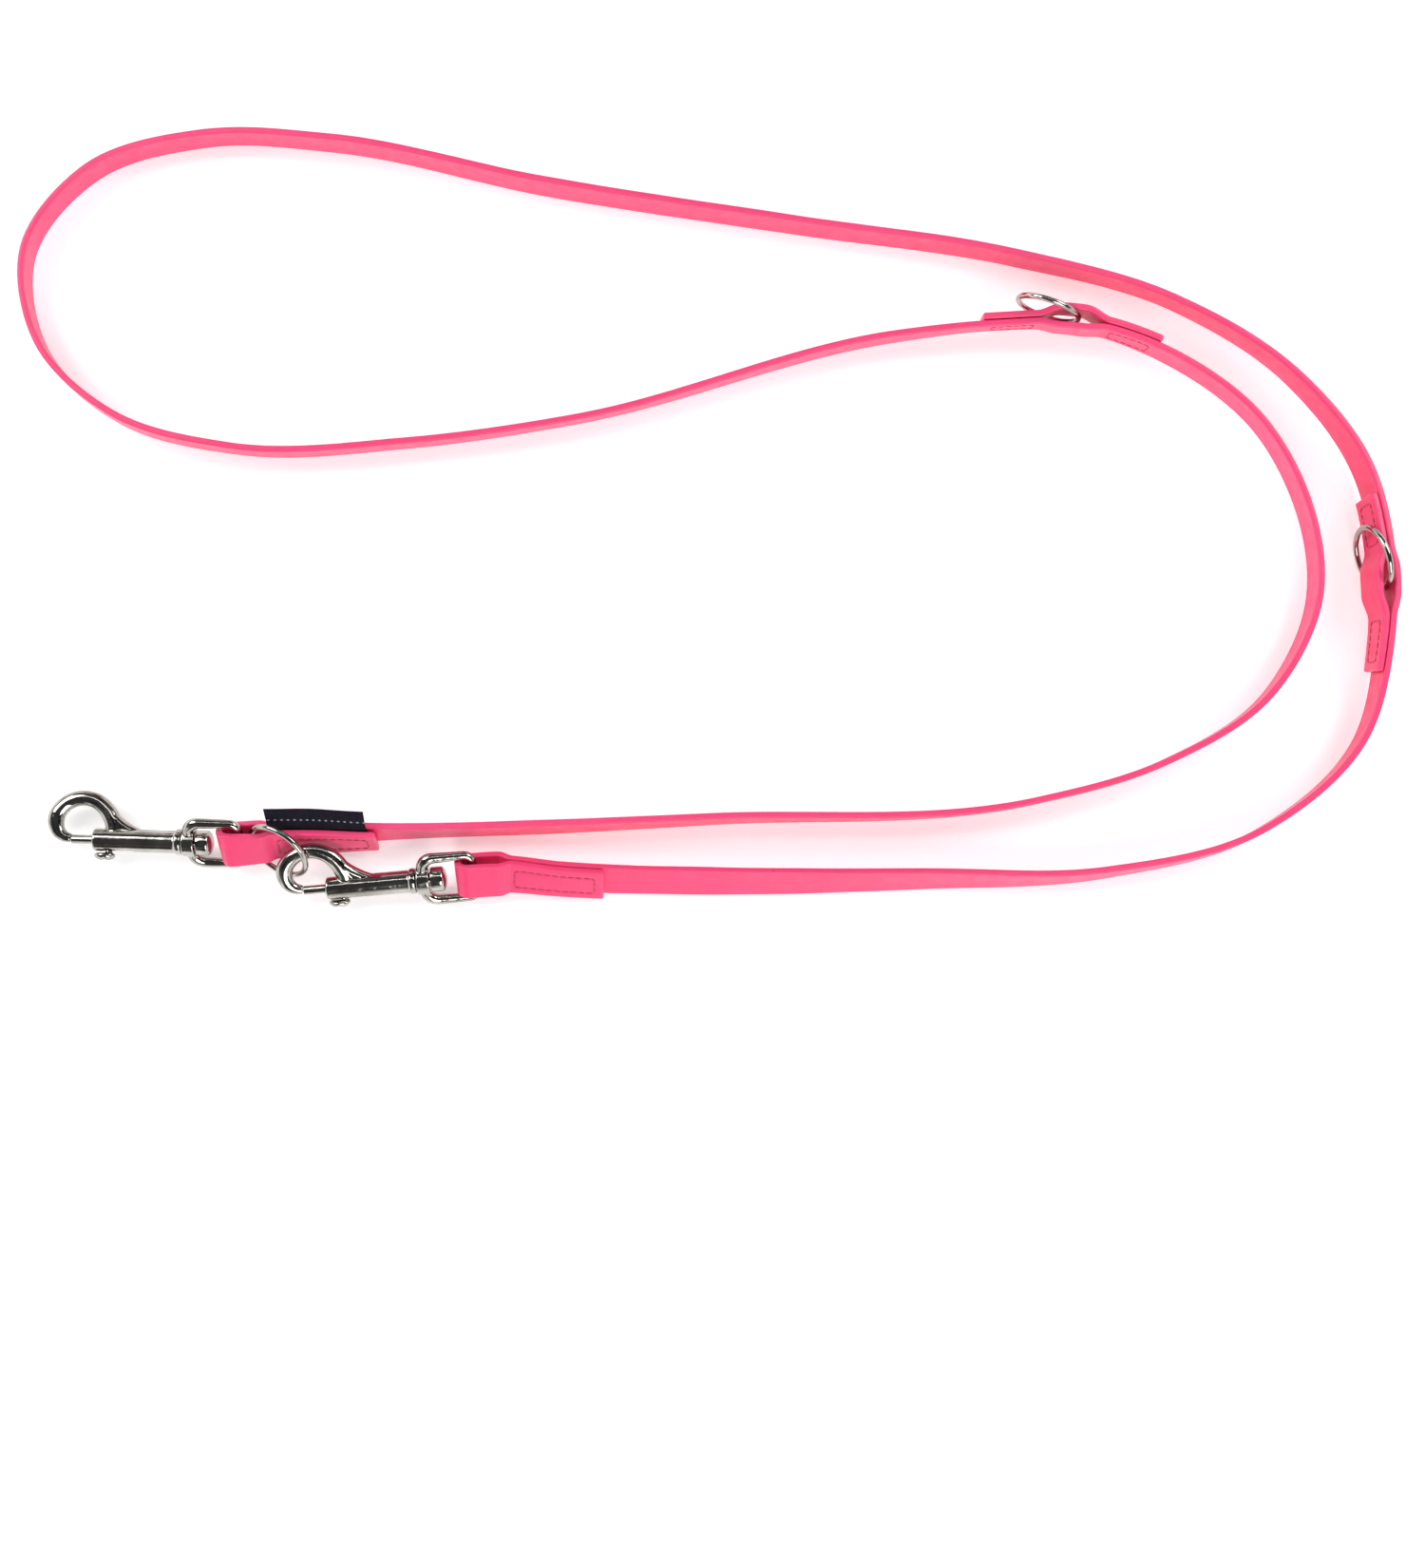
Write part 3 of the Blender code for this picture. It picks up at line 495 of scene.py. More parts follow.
def label_material():
    """Woven black satin with fine ribs, uneven tone and a plain row of pale diamonds."""
    nodes = Nodes(bpy.data.materials.new("woven_label"))
    place = nodes.place()
    along, across = nodes.value("along"), nodes.value("across")
    warp = ribs(nodes, along, 0.00032)
    weft = ribs(nodes, across, 0.00026)
    weave = nodes.math("MULTIPLY", warp, weft)
    base = nodes.mix(nodes.ramp(weave, -1.0, 1.0), (0.004, 0.004, 0.009), (0.013, 0.013, 0.024))
    base = nodes.mix(nodes.ramp(nodes.noise(place, 300.0), 0.4, 0.8, 0.0, 0.5), base, (0.020, 0.020, 0.032))
    pitch, height, half_size, blur = 0.0021, 0.0060, 0.00060, 0.00008
    phase = nodes.math("PINGPONG", along, pitch / 2)
    rise = nodes.math("ABSOLUTE", nodes.math("SUBTRACT", across, height))
    inside = nodes.math("SUBTRACT", half_size, nodes.math("ADD", phase, rise))
    mark = nodes.ramp(inside, 0.0, blur)
    thread = nodes.math("MULTIPLY", mark, nodes.ramp(weft, -1.0, 0.2, 0.35, 0.85))
    nodes.color(nodes.mix(thread, base, (0.46, 0.46, 0.50)))
    nodes.rough(nodes.ramp(nodes.noise(place, 900.0), 0.3, 0.7, 0.72, 0.9))
    nodes.normal(nodes.bump(weave, 0.00003))
    nodes.shader.inputs["Specular IOR Level"].default_value = 0.12
    return nodes.owner


def metal_material(name, light, dark, rough_low, rough_high, grain):
    """Polished plating: slow tone changes, hairline scratches, dull patches and casting ripple."""
    nodes = Nodes(bpy.data.materials.new(name))
    place = nodes.place()
    tone = nodes.ramp(nodes.noise(place, 120.0, 4.0), 0.35, 0.75)
    nodes.color(nodes.mix(tone, light, dark))
    stretch = nodes.make("ShaderNodeMapping")
    stretch.inputs["Scale"].default_value = (160.0, 2600.0, 2600.0)
    nodes.link(place, stretch.inputs["Vector"])
    scratch = nodes.ramp(nodes.noise(stretch.outputs["Vector"], 1.0, 2.0, 0.7), 0.60, 0.72)
    haze = nodes.ramp(nodes.noise(place, 420.0, 5.0, 0.6), 0.4, 0.75, rough_low, rough_high)
    nodes.rough(nodes.math("ADD", haze, nodes.math("MULTIPLY", scratch, 0.10)))
    ripple = nodes.bump(nodes.noise(place, 260.0, 2.0), grain)
    fine = nodes.bump(nodes.noise(place, 2200.0, 2.0), 0.000004, 1.0, ripple)
    nodes.normal(nodes.bump(scratch, 0.000003, 1.0, fine))
    nodes.set(metallic=1.0)
    return nodes.owner


# ---------------------------------------------------------------- mesh helpers


def loft(rings, closed=False):
    """Points and faces of a body through rings of equally many points."""
    sides = len(rings[0])
    count = len(rings)
    points = [p for ring in rings for p in ring]
    faces = []
    for i in range(count if closed else count - 1):
        near = i * sides
        far = ((i + 1) % count) * sides
        for j in range(sides):
            k = (j + 1) % sides
            faces.append((near + j, near + k, far + k, far + j))
    if not closed:
        faces.append(tuple(reversed(range(sides))))
        faces.append(tuple(range((count - 1) * sides, count * sides)))
    return points, faces


def circle(centre, radius, first, second, sides):
    """Points round a centre, in the plane of two directions."""
    turns = [2 * math.pi * j / sides for j in range(sides)]
    return [centre + radius * (math.cos(a) * first + math.sin(a) * second) for a in turns]


def turned(profile, sides=72):
    """Points and faces of a solid turned about X."""
    turns = [2 * math.pi * j / sides for j in range(sides)]
    rings = [[(x, r * math.cos(a), r * math.sin(a)) for a in turns] for x, r in profile]
    return loft(rings)


def new_mesh(name, points, faces, sharp=None):
    mesh = bpy.data.meshes.new(name)
    mesh.from_pydata([tuple(p) for p in points], [], faces)
    shape = bmesh.new()
    shape.from_mesh(mesh)
    bmesh.ops.recalc_face_normals(shape, faces=shape.faces)
    shape.to_mesh(mesh)
    shape.free()
    mesh.shade_smooth()
    if sharp:
        mesh.set_sharp_from_angle(angle=math.radians(sharp))
    return mesh


def link_object(name, mesh):
    item = bpy.data.objects.new(name, mesh)
    bpy.context.scene.collection.objects.link(item)
    return item


def piece(name, mesh, material, slot, body, *replaced):
    """A finished piece: its material, its body and the CAD nodes it stands for. The slot argument is not
    used.
    """
    item = link_object(name, mesh)
    mesh.materials.clear()
    mesh.materials.append(material)
    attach(item, body)
    if replaced:
        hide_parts(*replaced)
    return item


def write_values(mesh, name, values):
    mesh.attributes.new(name, "FLOAT", "POINT").data.foreach_set("value", np.array(values, np.float32))


def evaluated(item, name):
    """The object's mesh with its modifiers applied. The object is removed."""
    graph = bpy.context.evaluated_depsgraph_get()
    mesh = bpy.data.meshes.new_from_object(item.evaluated_get(graph))
    mesh.name = name
    bpy.data.objects.remove(item, do_unlink=True)
    return mesh


def cast(name, shapes, cuts, turn):
    """One casting: the shapes grow together with soft corners, then the cuts are drilled."""
    points, faces = [], []
    for some, their in shapes:
        base = len(points)
        points += [Vector(p) / MM for p in some]
        faces += [tuple(base + i for i in face) for face in their]
    item = link_object(name, new_mesh(name, points, faces))
    remesh = item.modifiers.new("grow", "REMESH")
    remesh.mode = "VOXEL"
    remesh.voxel_size = CAST_VOXEL
    soften = item.modifiers.new("soften", "SMOOTH")
    soften.factor = 0.5
    soften.iterations = 7
    cutters = []
    for some, their in cuts:
        other = link_object(name + "_cut", new_mesh(name + "_cut", [Vector(p) / MM for p in some], their))
        drill = item.modifiers.new("drill", "BOOLEAN")
        drill.operation = "DIFFERENCE"
        drill.solver = "EXACT"
        drill.object = other
        cutters.append(other)
    bpy.context.view_layer.update()
    mesh = evaluated(item, name)
    for other in cutters:
        bpy.data.objects.remove(other, do_unlink=True)
    mesh.transform(turn @ Matrix.Scale(MM, 4))
    mesh.shade_smooth()
    mesh.set_sharp_from_angle(angle=math.radians(40))
    return mesh


# ---------------------------------------------------------------- seams


def seam_outline(start, end, steps):
    """A seam's rounded rectangle as (distance along, across) at even steps, and its perimeter."""
    corner_at = (end - start) / 2 - SEAM_CORNER
    corner_up = SEAM_HALF_WIDTH - SEAM_CORNER
    centre = (start + end) / 2
    rows = []
    for quarter, (a, b) in enumerate(((1, 1), (-1, 1), (-1, -1), (1, -1))):
        for turn in np.linspace(0.0, 90.0, 7):
            angle = math.radians(90 * quarter + turn)
            at = centre + a * corner_at + SEAM_CORNER * math.cos(angle)
            rows.append((at, b * corner_up + SEAM_CORNER * math.sin(angle)))
    rows.append(rows[0])
    rows = np.array(rows)
    run = np.concatenate([[0.0], np.cumsum(np.linalg.norm(np.diff(rows, axis=0), axis=1))])
    want = np.linspace(0.0, run[-1], steps)
    return np.column_stack([np.interp(want, run, rows[:, k]) for k in (0, 1)]), run[-1]


def seam_distance(s, across, start, end):
    """Distance from a point on the face to a seam's line."""
    dx = abs(s - (start + end) / 2) - ((end - start) / 2 - SEAM_CORNER)
    dy = np.abs(across) - (SEAM_HALF_WIDTH - SEAM_CORNER)
    outside = np.hypot(np.maximum(dx, 0.0), np.maximum(dy, 0.0))
    inside = np.minimum(np.maximum(dx, dy), 0.0)
    return np.abs(outside + inside - SEAM_CORNER)


def stitch_mesh(name, strap, start, end, offset, outward):
    """One seam's stitches on one face: short arcs of thread whose ends sink into the strap."""
    _, around = seam_outline(start, end, 3)
    count = int(round(around / STITCH_PITCH))
    length = around / count * STITCH_SHARE
    rows, _ = seam_outline(start, end, count * THREAD_ROWS * 4 + 1)
    run = np.linspace(0.0, around, len(rows))
    points, faces, twist = [], [], []
    for k in range(count):
        centre = []
        begin = around / count * k
        for t in np.linspace(0.0, 1.0, THREAD_ROWS):
            at = begin + t * length
            s, across = (np.interp(at, run, rows[:, c]) for c in (0, 1))
            lift = STITCH_RISE - STITCH_DIP * abs(2 * t - 1) ** 5
            centre.append(strap.point(s, across, offset(s) + outward * lift))
        centre = np.array(centre)
        travel = np.gradient(centre, axis=0)
        travel /= np.linalg.norm(travel, axis=1)[:, None]
        face = strap.frame((rows[0, 0] + rows[-1, 0]) / 2)[3]
        rings = []
        for row, (spot, go) in enumerate(zip(centre, travel)):
            side = np.cross(go, face)
            side /= np.linalg.norm(side)
            up = np.cross(side, go)
            rings.append(circle(spot, THREAD_R, side, up, THREAD_SIDES))
            around_thread = 2 * math.pi * THREAD_R * np.arange(THREAD_SIDES) / THREAD_SIDES
            twist += list(row / (THREAD_ROWS - 1) * length + around_thread * THREAD_TWIST)
        some, their = loft(rings)
        base = len(points)
        points += some
        faces += [tuple(base + i for i in one) for one in their]
    mesh = new_mesh(name, points, faces)
    write_values(mesh, "along", twist)
    return mesh


# ---------------------------------------------------------------- bands of strap


def section_rows():
    """The strap's section as (across, height, face), with face +1 or -1 on the flat faces and 0 on the
    edges. Its points are close together where the seams' lines run."""
    flat = STRAP_WIDTH / 2 - EDGE_ROUND
    half = STRAP_THICK / 2
    lines = [SEAM_HALF_WIDTH + step * MM for step in (-0.9, -0.45, 0.0, 0.45, 0.9)]
    positive = [1.5 * MM, 5.3 * MM, flat] + lines
    across = sorted([0.0] + positive + [-x for x in positive])
    rows = [(a, half, 1) for a in across]

    def corner(a, b, angles):
        for turn in np.radians(angles):
            height = b * (half - EDGE_ROUND) + EDGE_ROUND * math.sin(turn)
            rows.append((a * flat + EDGE_ROUND * math.cos(turn), height, 0))

    corner(1, 1, (68, 45, 22, 0))
    corner(1, -1, (0, -22, -45, -68))
    rows += [(a, -half, -1) for a in reversed(across)]
    corner(-1, -1, (-112, -135, -158, -180))
    corner(-1, 1, (180, 158, 135, 112))
    return rows


SECTION = section_rows()


def walk(start, end, marks, step):
    """Places from start to end, close together near the marks."""
    places = [start]
    sign = 1.0 if end > start else -1.0
    while True:
        here = places[-1]
        near = min((abs(here - m) for m in marks), default=1.0)
        size = FINE_STEP if near < 4 * FINE_STEP else min(step, max(FINE_STEP, near - 3 * FINE_STEP))
        if abs(end - here) <= size:
            break
        places.append(here + sign * size)
    places.append(end)
    return places


def band_mesh(name, strap, stations, seams):
    """A run of strap through stations (s, offset, layer), with rounded edges and cut ends, and a
    groove where a seam pulls it in. Seams are (layer, face, start, end)."""
    centres = np.array([strap.point(s, off=off) for s, off, _ in stations])
    steps = np.linalg.norm(np.diff(centres, axis=0), axis=1)
    run = np.concatenate([[0.0], np.cumsum(steps)])
    travel = np.gradient(centres, run, axis=0)
    travel /= np.linalg.norm(travel, axis=1)[:, None]
    across = np.array([row[0] for row in SECTION])
    height = np.array([row[1] for row in SECTION])
    side = np.array([row[2] for row in SECTION])
    # the paler colour near the long edges is a painted highlight
    edge_row = 1.0 - np.clip((STRAP_WIDTH / 2 - np.abs(across)) / HIGHLIGHT_EDGE, 0.0, 1.0)
    rings, edge, sewn, along_values, across_values = [], [], [], [], []
    for i, ((s, off, layer), centre, go) in enumerate(zip(stations, centres, travel)):
        width = strap.frame(s)[2]
        width = width - np.dot(width, go) * go
        width /= np.linalg.norm(width)
        face = np.cross(width, go)
        pull = np.zeros(len(SECTION))
        for where, facing, start, end in seams:
            if where == layer and start - SEAM_REACH < s < end + SEAM_REACH:
                near = np.exp(-((seam_distance(s, across, start, end) / GROOVE_WIDTH) ** 2))
                pull = np.maximum(pull, near * (side == facing))
        cut = min(run[i], run[-1] - run[i])
        shrink = CUT_SHRINK * (1.0 - min(cut / CUT_ROWS[-1], 1.0)) ** 2
        wave = 0.00005 * math.sin(run[i] * 190.0) + 0.00004 * math.sin(run[i] * 83.0 + 1.0)
        a = across * (1.0 - (shrink + wave) / (STRAP_WIDTH / 2))
        b = height * (1.0 - shrink / (STRAP_THICK / 2)) - side * pull * GROOVE_DEPTH
        rings.append(centre + a[:, None] * width + b[:, None] * face)
        # the paler colour near the cut ends is a painted highlight
        cut_highlight = 1.0 - min(cut / HIGHLIGHT_CUT, 1.0)
        edge.append(np.maximum(edge_row, cut_highlight))
        # sewn marks the seam grooves, where the colour is darkened as painted shade
        sewn.append(pull)
        along_values.append(np.full(len(SECTION), run[i]))
        across_values.append(across)
    points, faces = loft([list(ring) for ring in rings])
    mesh = new_mesh(name, points, faces, 60)
    for key, rows in (("edge", edge), ("sewn", sewn), ("along", along_values), ("across", across_values)):
        write_values(mesh, key, np.concatenate(rows))
    return mesh


def fold_stations(length, sewn_step, marks, sign, place):
    """One folded end as stations: from the cut end round the fold and back to where the layers part."""
    middle = sewn_step / 2
    ends = walk(length, FOLD_LOOP_END, marks, SEWN_STEP)
    near_cut = [length - row for row in CUT_ROWS]
    rows = [(s, sewn_step, "folded") for s in near_cut + [s for s in ends if s < length - CUT_CLEAR]]
    open_run = list(np.arange(FOLD_LOOP_END - SEWN_STEP / 2, FOLD_LOOP_R + SEWN_STEP / 4, -SEWN_STEP / 2))

    def bulge(s):
        closed = ease((s - FOLD_LOOP_FULL) / (FOLD_LOOP_END - FOLD_LOOP_FULL))
        return (1.0 - closed) * (FOLD_LOOP_R - middle)

    rows += [(s, sewn_step + bulge(s), "loop") for s in open_run]
    for turn in np.linspace(0.0, math.pi, 25):
        reach = FOLD_LOOP_R - FOLD_LOOP_R * math.sin(turn)
        rows.append((reach, middle + FOLD_LOOP_R * math.cos(turn), "loop"))
    rows += [(s, -bulge(s), "loop") for s in reversed(open_run)]
    return [(place(s), sign * off, layer) for s, off, layer in rows]


class Seams:
    """Where the seams lie along the strap."""

    def __init__(self, strap, middle_at, side_at):
        length = strap.length
        near = CHANNEL_HALF + SEAM_OFFSET
        far = PATCH_LENGTH / 2 - SEAM_MARGIN
        first = FOLD_LOOP_END + SEAM_OFFSET
        self.first = (first, FIRST_FOLD_LENGTH - SEAM_MARGIN)
        self.second = (length - SECOND_FOLD_LENGTH + SEAM_MARGIN, length - first)
        self.middle = [(middle_at - far, middle_at - near), (middle_at + near, middle_at + far)]
        self.side = [(side_at - far, side_at - near), (side_at + near, side_at + far)]

    def all(self):
        return [self.first, self.second] + self.middle + self.side


def strap_mesh(strap, channels, seams):
    """The strap as one band: the first fold, the run with its two channels, and the second fold."""
    first_marks = list(seams.first)
    second_marks = [strap.length - s for s in seams.second]
    first = fold_stations(FIRST_FOLD_LENGTH, FIRST_LAYER_STEP, first_marks, -1, lambda s: s)
    second = fold_stations(SECOND_FOLD_LENGTH, LAYER_STEP, second_marks, 1, lambda s: strap.length - s)
    marks = [s for pair in seams.all() for s in pair]
    zones = [(c - PATCH_LENGTH / 2, c + PATCH_LENGTH / 2) for c in channels]
    zones.append((0.0, FIRST_FOLD_LENGTH))
    zones.append((strap.length - SECOND_FOLD_LENGTH, strap.length))
    start = FOLD_LOOP_END
    stop = strap.length - FOLD_LOOP_END
    cuts = sorted({start, stop, *[s for zone in zones for s in zone if start < s < stop]})
    middle = []
    for begin, end in zip(cuts, cuts[1:]):
        centre = (begin + end) / 2
        busy = any(low <= centre <= high for low, high in zones)
        places = walk(begin, end, marks, SEWN_STEP if busy else PLAIN_STEP)
        middle += [(s, strap_shift(s, channels), "run") for s in places[:-1]]
    stations = first + middle + list(reversed(second))
    shapes = [
        ("folded", 1, *seams.first),
        ("run", 1, *seams.first),
        ("folded", -1, *seams.second),
        ("run", -1, *seams.second),
    ]
    shapes += [("run", 1, *pair) for pair in seams.middle + seams.side]
    return band_mesh("strap_webbing", strap, stations, shapes)


def patch_mesh(name, strap, middle, pairs):
    """A short band along the strap's rear face, with a channel for its ring in the middle."""
    marks = [s for pair in pairs for s in pair]
    half = PATCH_LENGTH / 2
    start, end = middle - half, middle + half
    inner = [s for s in walk(start, end, marks, SEWN_STEP) if half - abs(s - middle) > CUT_CLEAR]
    places = [start + row for row in CUT_ROWS] + inner + [end - row for row in reversed(CUT_ROWS)]
    stations = [(s, patch_shift(s, middle), "run") for s in places]
    return band_mesh(name, strap, stations, [("run", -1, *pair) for pair in pairs])


def build_webbing(strap, channels, seams, look):
    mesh = strap_mesh(strap, channels, seams)
    webbing = piece(mesh.name, mesh, look, "coated_webbing", "strap", "main_strap")
    for name, middle, pairs in (("middle", channels[0], seams.middle), ("side", channels[1], seams.side)):
        mesh = patch_mesh(f"patch_{name}_webbing", strap, middle, pairs)
        piece(mesh.name, mesh, look, "coated_webbing", "strap", f"ring_patch_{name}")
    return webbing


def build_stitches(strap, channels, seams, look):
    """Every seam on both of its outer faces. The side that shows stands for the CAD seam."""
    half = STRAP_THICK / 2 - GROOVE_DEPTH + THREAD_R * 0.2

    def flat(off):
        return lambda s: off

    def patch(middle):
        return lambda s: patch_shift(s, middle)

    rows = [
        ("first_fold", seams.first, flat(-FIRST_LAYER_STEP), -1, flat(0.0)),
        ("second_fold", seams.second, flat(LAYER_STEP), 1, flat(0.0)),
    ]
    for k in (0, 1):
        rows.append((f"middle_patch_{k + 1}", seams.middle[k], flat(0.0), 1, patch(channels[0])))
        rows.append((f"side_patch_{k + 1}", seams.side[k], patch(channels[1]), -1, flat(0.0)))
    for name, (start, end), front, facing, back in rows:
        for ending, layer, side in (("", front, facing), ("_back", back, -facing)):
            title = f"stitches_{name}{ending}"
            mesh = stitch_mesh(title, strap, start, end, lambda s: layer(s) + side * half, side)
            stands_for = [] if ending else [f"seam_{name}"]
            piece(title, mesh, look, "thread", "strap", *stands_for)


def build_label(strap, look):
    """The label: a ribbon folded at its top edge, its two layers caught in the first fold."""
    middle_off = -FIRST_LAYER_STEP / 2
    clear = STRAP_WIDTH / 2 + LABEL_CLEAR
    reach = LABEL_HIGH - clear
    rings, along_values, across_values = [], [], []
    for s in np.linspace(LABEL_FROM, LABEL_TO, 64):
        place, _, width, face = strap.frame(s)
        lean = math.degrees(math.atan2(np.dot(width, [0, 1, 0]), width[2]))
        back = math.radians(max(LABEL_LEAN - lean, 0.0))
        spine = [np.array([w, 0.0]) for w in np.linspace(LABEL_LOW, clear - 0.0006, 8)]
        for t in np.linspace(0.0, 1.0, LABEL_ROWS):
            turn = back * ease(t * 3.0)
            step = reach / LABEL_ROWS
            spine.append(spine[-1] + step * np.array([math.cos(turn), math.sin(turn)]))
        spine = np.array(spine)
        tangent = np.gradient(spine, axis=0)
        tangent /= np.linalg.norm(tangent, axis=1)[:, None]
        out = np.column_stack([-tangent[:, 1], tangent[:, 0]])
        top, turn_out, turn_up = spine[-1], out[-1], tangent[-1]
        path = [p - LABEL_LAYER_OFF * o for p, o in zip(spine, out)]
        brim = np.radians([-60, -30, 0, 30, 60])
        for angle in brim:
            path.append(top + LABEL_LAYER_OFF * (math.sin(angle) * turn_out + math.cos(angle) * turn_up))
        path += [p + LABEL_LAYER_OFF * o for p, o in zip(spine[::-1], out[::-1])]
        path = np.array(path)
        go = np.gradient(path, axis=0)
        go /= np.linalg.norm(go, axis=1)[:, None]
        normal = np.column_stack([-go[:, 1], go[:, 0]])
        outer = path + LABEL_LAYER / 2 * normal
        inner = path - LABEL_LAYER / 2 * normal
        loop = np.vstack([outer, inner[::-1]])
        climb = np.linspace(0.0, 1.0, len(spine))
        span = (LABEL_HIGH - LABEL_LOW) * np.concatenate([climb, np.ones(len(brim)), climb[::-1]])
        wave = 0.00010 * math.sin(s * 260.0)
        ring = []
        for w, o in loop:
            off = middle_off + o + wave * max(w - clear, 0.0) / reach
            ring.append(place + w * width + off * face)
        rings.append(ring)
        along_values.append(np.full(len(loop), s))
        across_values.append(LABEL_HIGH - LABEL_LOW - np.concatenate([span, span[::-1]]))
    points, faces = loft(rings)
    mesh = new_mesh("label_ribbon", points, faces, 50)
    write_values(mesh, "along", np.concatenate(along_values))
    write_values(mesh, "across", np.concatenate(across_values))
    piece("label_ribbon", mesh, look, "woven_label", "strap", "maker_label")


# ---------------------------------------------------------------- rings


def ring_mesh(name, centre, across, up, weld):
    """A welded wire ring in the plane of two directions, a little thicker at its weld."""
    normal = across.cross(up)
    rings = []
    for turn in np.linspace(0.0, 2 * math.pi, RING_STEPS, endpoint=False):
        out = math.cos(turn) * across + math.sin(turn) * up
        away = math.remainder(turn - weld, 2 * math.pi) * RING_R / WELD_HALF
        swell = WELD_SWELL * math.exp(-away * away) - WELD_DIP * math.exp(-((abs(away) - 2) ** 2))
        radius = RING_WIRE_R * (1 + swell)
        rings.append(circle(centre + RING_R * out, radius, out, -normal, 20))
    return new_mesh(name, *loft(rings, closed=True))


def build_patch_ring(name, strap, middle, direction, stance, look):
    _, along, _, face = strap.frame(middle)
    run = Vector((along[0], along[1], 0.0)).normalized() * direction
    side = Vector((-face[0], -face[1], 0.0)).normalized()
    skew = math.radians(stance["skew"])
    away = math.cos(skew) * run + math.sin(skew) * side
    lean = math.radians(stance["lean"])
    level = (side - side.dot(away) * away).normalized()
    up = math.cos(lean) * Vector((0.0, 0.0, 1.0)) + math.sin(lean) * level
    centre = Vector(joint(name + "_swing")["pos_m"]) + RING_AXIS_OFF * away
    mesh = ring_mesh("welded_" + name, centre, away, up, math.radians(205))
    piece(mesh.name, mesh, look, "nickel", name, name)


def build_end_ring(look):
    heading = math.radians(END_RING_HEADING)
    tilt = math.radians(END_RING_TILT)
    across = Vector((math.cos(heading), math.sin(heading), 0.0))
    level = Vector((-math.sin(heading), math.cos(heading), 0.0))
    up = math.cos(tilt) * level + math.sin(tilt) * Vector((0.0, 0.0, 1.0))
    centre = Vector(joint("ring_end_swing")["pos_m"]) - RING_AXIS_OFF * across
    mesh = ring_mesh("welded_ring_end", centre, across, up, math.radians(150))
    piece(mesh.name, mesh, look, "nickel", "ring_end", "ring_end")


# ---------------------------------------------------------------- snaps


def joint(name):
    return next(j for j in frame["joints"] if j["name"] == name)


def frame_at(x_axis, z_hint, origin):
    """A placing matrix with its X along a direction and its Z near a hint."""
    x = Vector(x_axis).normalized()
    hint = Vector(z_hint)
    z = (hint - hint.dot(x) * x).normalized()
    y = z.cross(x)
    return Matrix.Translation(Vector(origin)) @ Matrix((x, y, z)).transposed().to_4x4()


def moved(mesh, turn):
    mesh.transform(turn)
    return mesh


def rounded(profile, reach, steps=4):
    """A turned profile with its corners rounded."""
    rows = [profile[0]]
    for before, corner, after in zip(profile, profile[1:], profile[2:]):
        b, c, a = (np.array(p) for p in (before, corner, after))
        back, ahead = b - c, a - c
        cut = min(reach, np.linalg.norm(back) / 2.2, np.linalg.norm(ahead) / 2.2)
        start = c + back / np.linalg.norm(back) * cut
        end = c + ahead / np.linalg.norm(ahead) * cut
        for t in np.linspace(0.0, 1.0, steps):
            rows.append(tuple((1 - t) ** 2 * start + 2 * t * (1 - t) * c + t * t * end))
    rows.append(profile[-1])
    return rows


def eye_mesh(name, turn):
    """The swivel eye: a rounded wire frame whose thick bar carries a collar with a hole."""
    corners = (
        (EYE_CORNER, EYE_HALF_WIDTH - EYE_CORNER, EYE_CORNER, 180, 90),
        (EYE_COLLAR_AT - EYE_SHOULDER, EYE_HALF_WIDTH - EYE_SHOULDER, EYE_SHOULDER, 90, 0),
    )
    half = [(0.0, 0.0), (0.0, EYE_HALF_WIDTH * EYE_REAR_FLAT)]
    for x, z, radius, start, stop in corners:
        for angle in np.radians(np.linspace(start, stop, 14)):
            half.append((x + radius * math.cos(angle), z + radius * math.sin(angle)))
    half += [(EYE_COLLAR_AT, EYE_HALF_WIDTH * EYE_FRONT_FLAT), (EYE_COLLAR_AT, 0.0)]
    line = half + [(x, -z) for x, z in reversed(half[1:-1])]
    side = Vector((0.0, 1.0, 0.0))
    rings = []
    for i, (x, z) in enumerate(line):
        ahead = line[(i + 1) % len(line)]
        behind = line[i - 1]
        travel = Vector((ahead[0] - behind[0], 0.0, ahead[1] - behind[1])).normalized()
        out = Vector((travel.z, 0.0, -travel.x))
        thick = ease((x / EYE_COLLAR_AT - EYE_SWELL[0]) / EYE_SWELL[1])
        radius = EYE_WIRE_R + thick * (EYE_BAR_R - EYE_WIRE_R)
        rings.append(circle(Vector((x, 0.0, z)), radius, out, side, 28))
    near = EYE_COLLAR_AT - EYE_COLLAR_HALF
    far = EYE_COLLAR_AT + EYE_COLLAR_HALF
    collar = turned([(near, EYE_COLLAR_R), (far, EYE_COLLAR_R)])
    hole = turned([(near - MM, EYE_HOLE_R), (far + MM, EYE_HOLE_R)])
    return cast(name, [loft(rings, closed=True), collar], [hole], turn)


def at(distance):
    return distance - EYE_COLLAR_AT


def cast_bar(knots):
    """Points and faces of a bar with oval sections along a line in the hook's plane."""
    placed = [(x - EYE_COLLAR_AT / MM, y, a, b) for x, y, a, b in knots]
    rows = smooth_line(placed, 0.5) * MM
    travel = np.gradient(rows[:, :2], axis=0)
    travel /= np.linalg.norm(travel, axis=1)[:, None]
    sides = 40
    rings = []
    for (x, y, wide, thick), (tx, ty) in zip(rows, travel):
        ring = []
        for j in range(sides):
            a = -2 * math.pi * j / sides
            in_plane = wide * math.cos(a)
            ring.append((x - ty * in_plane, y + tx * in_plane, thick * math.sin(a)))
        rings.append(ring)
    return loft(rings)


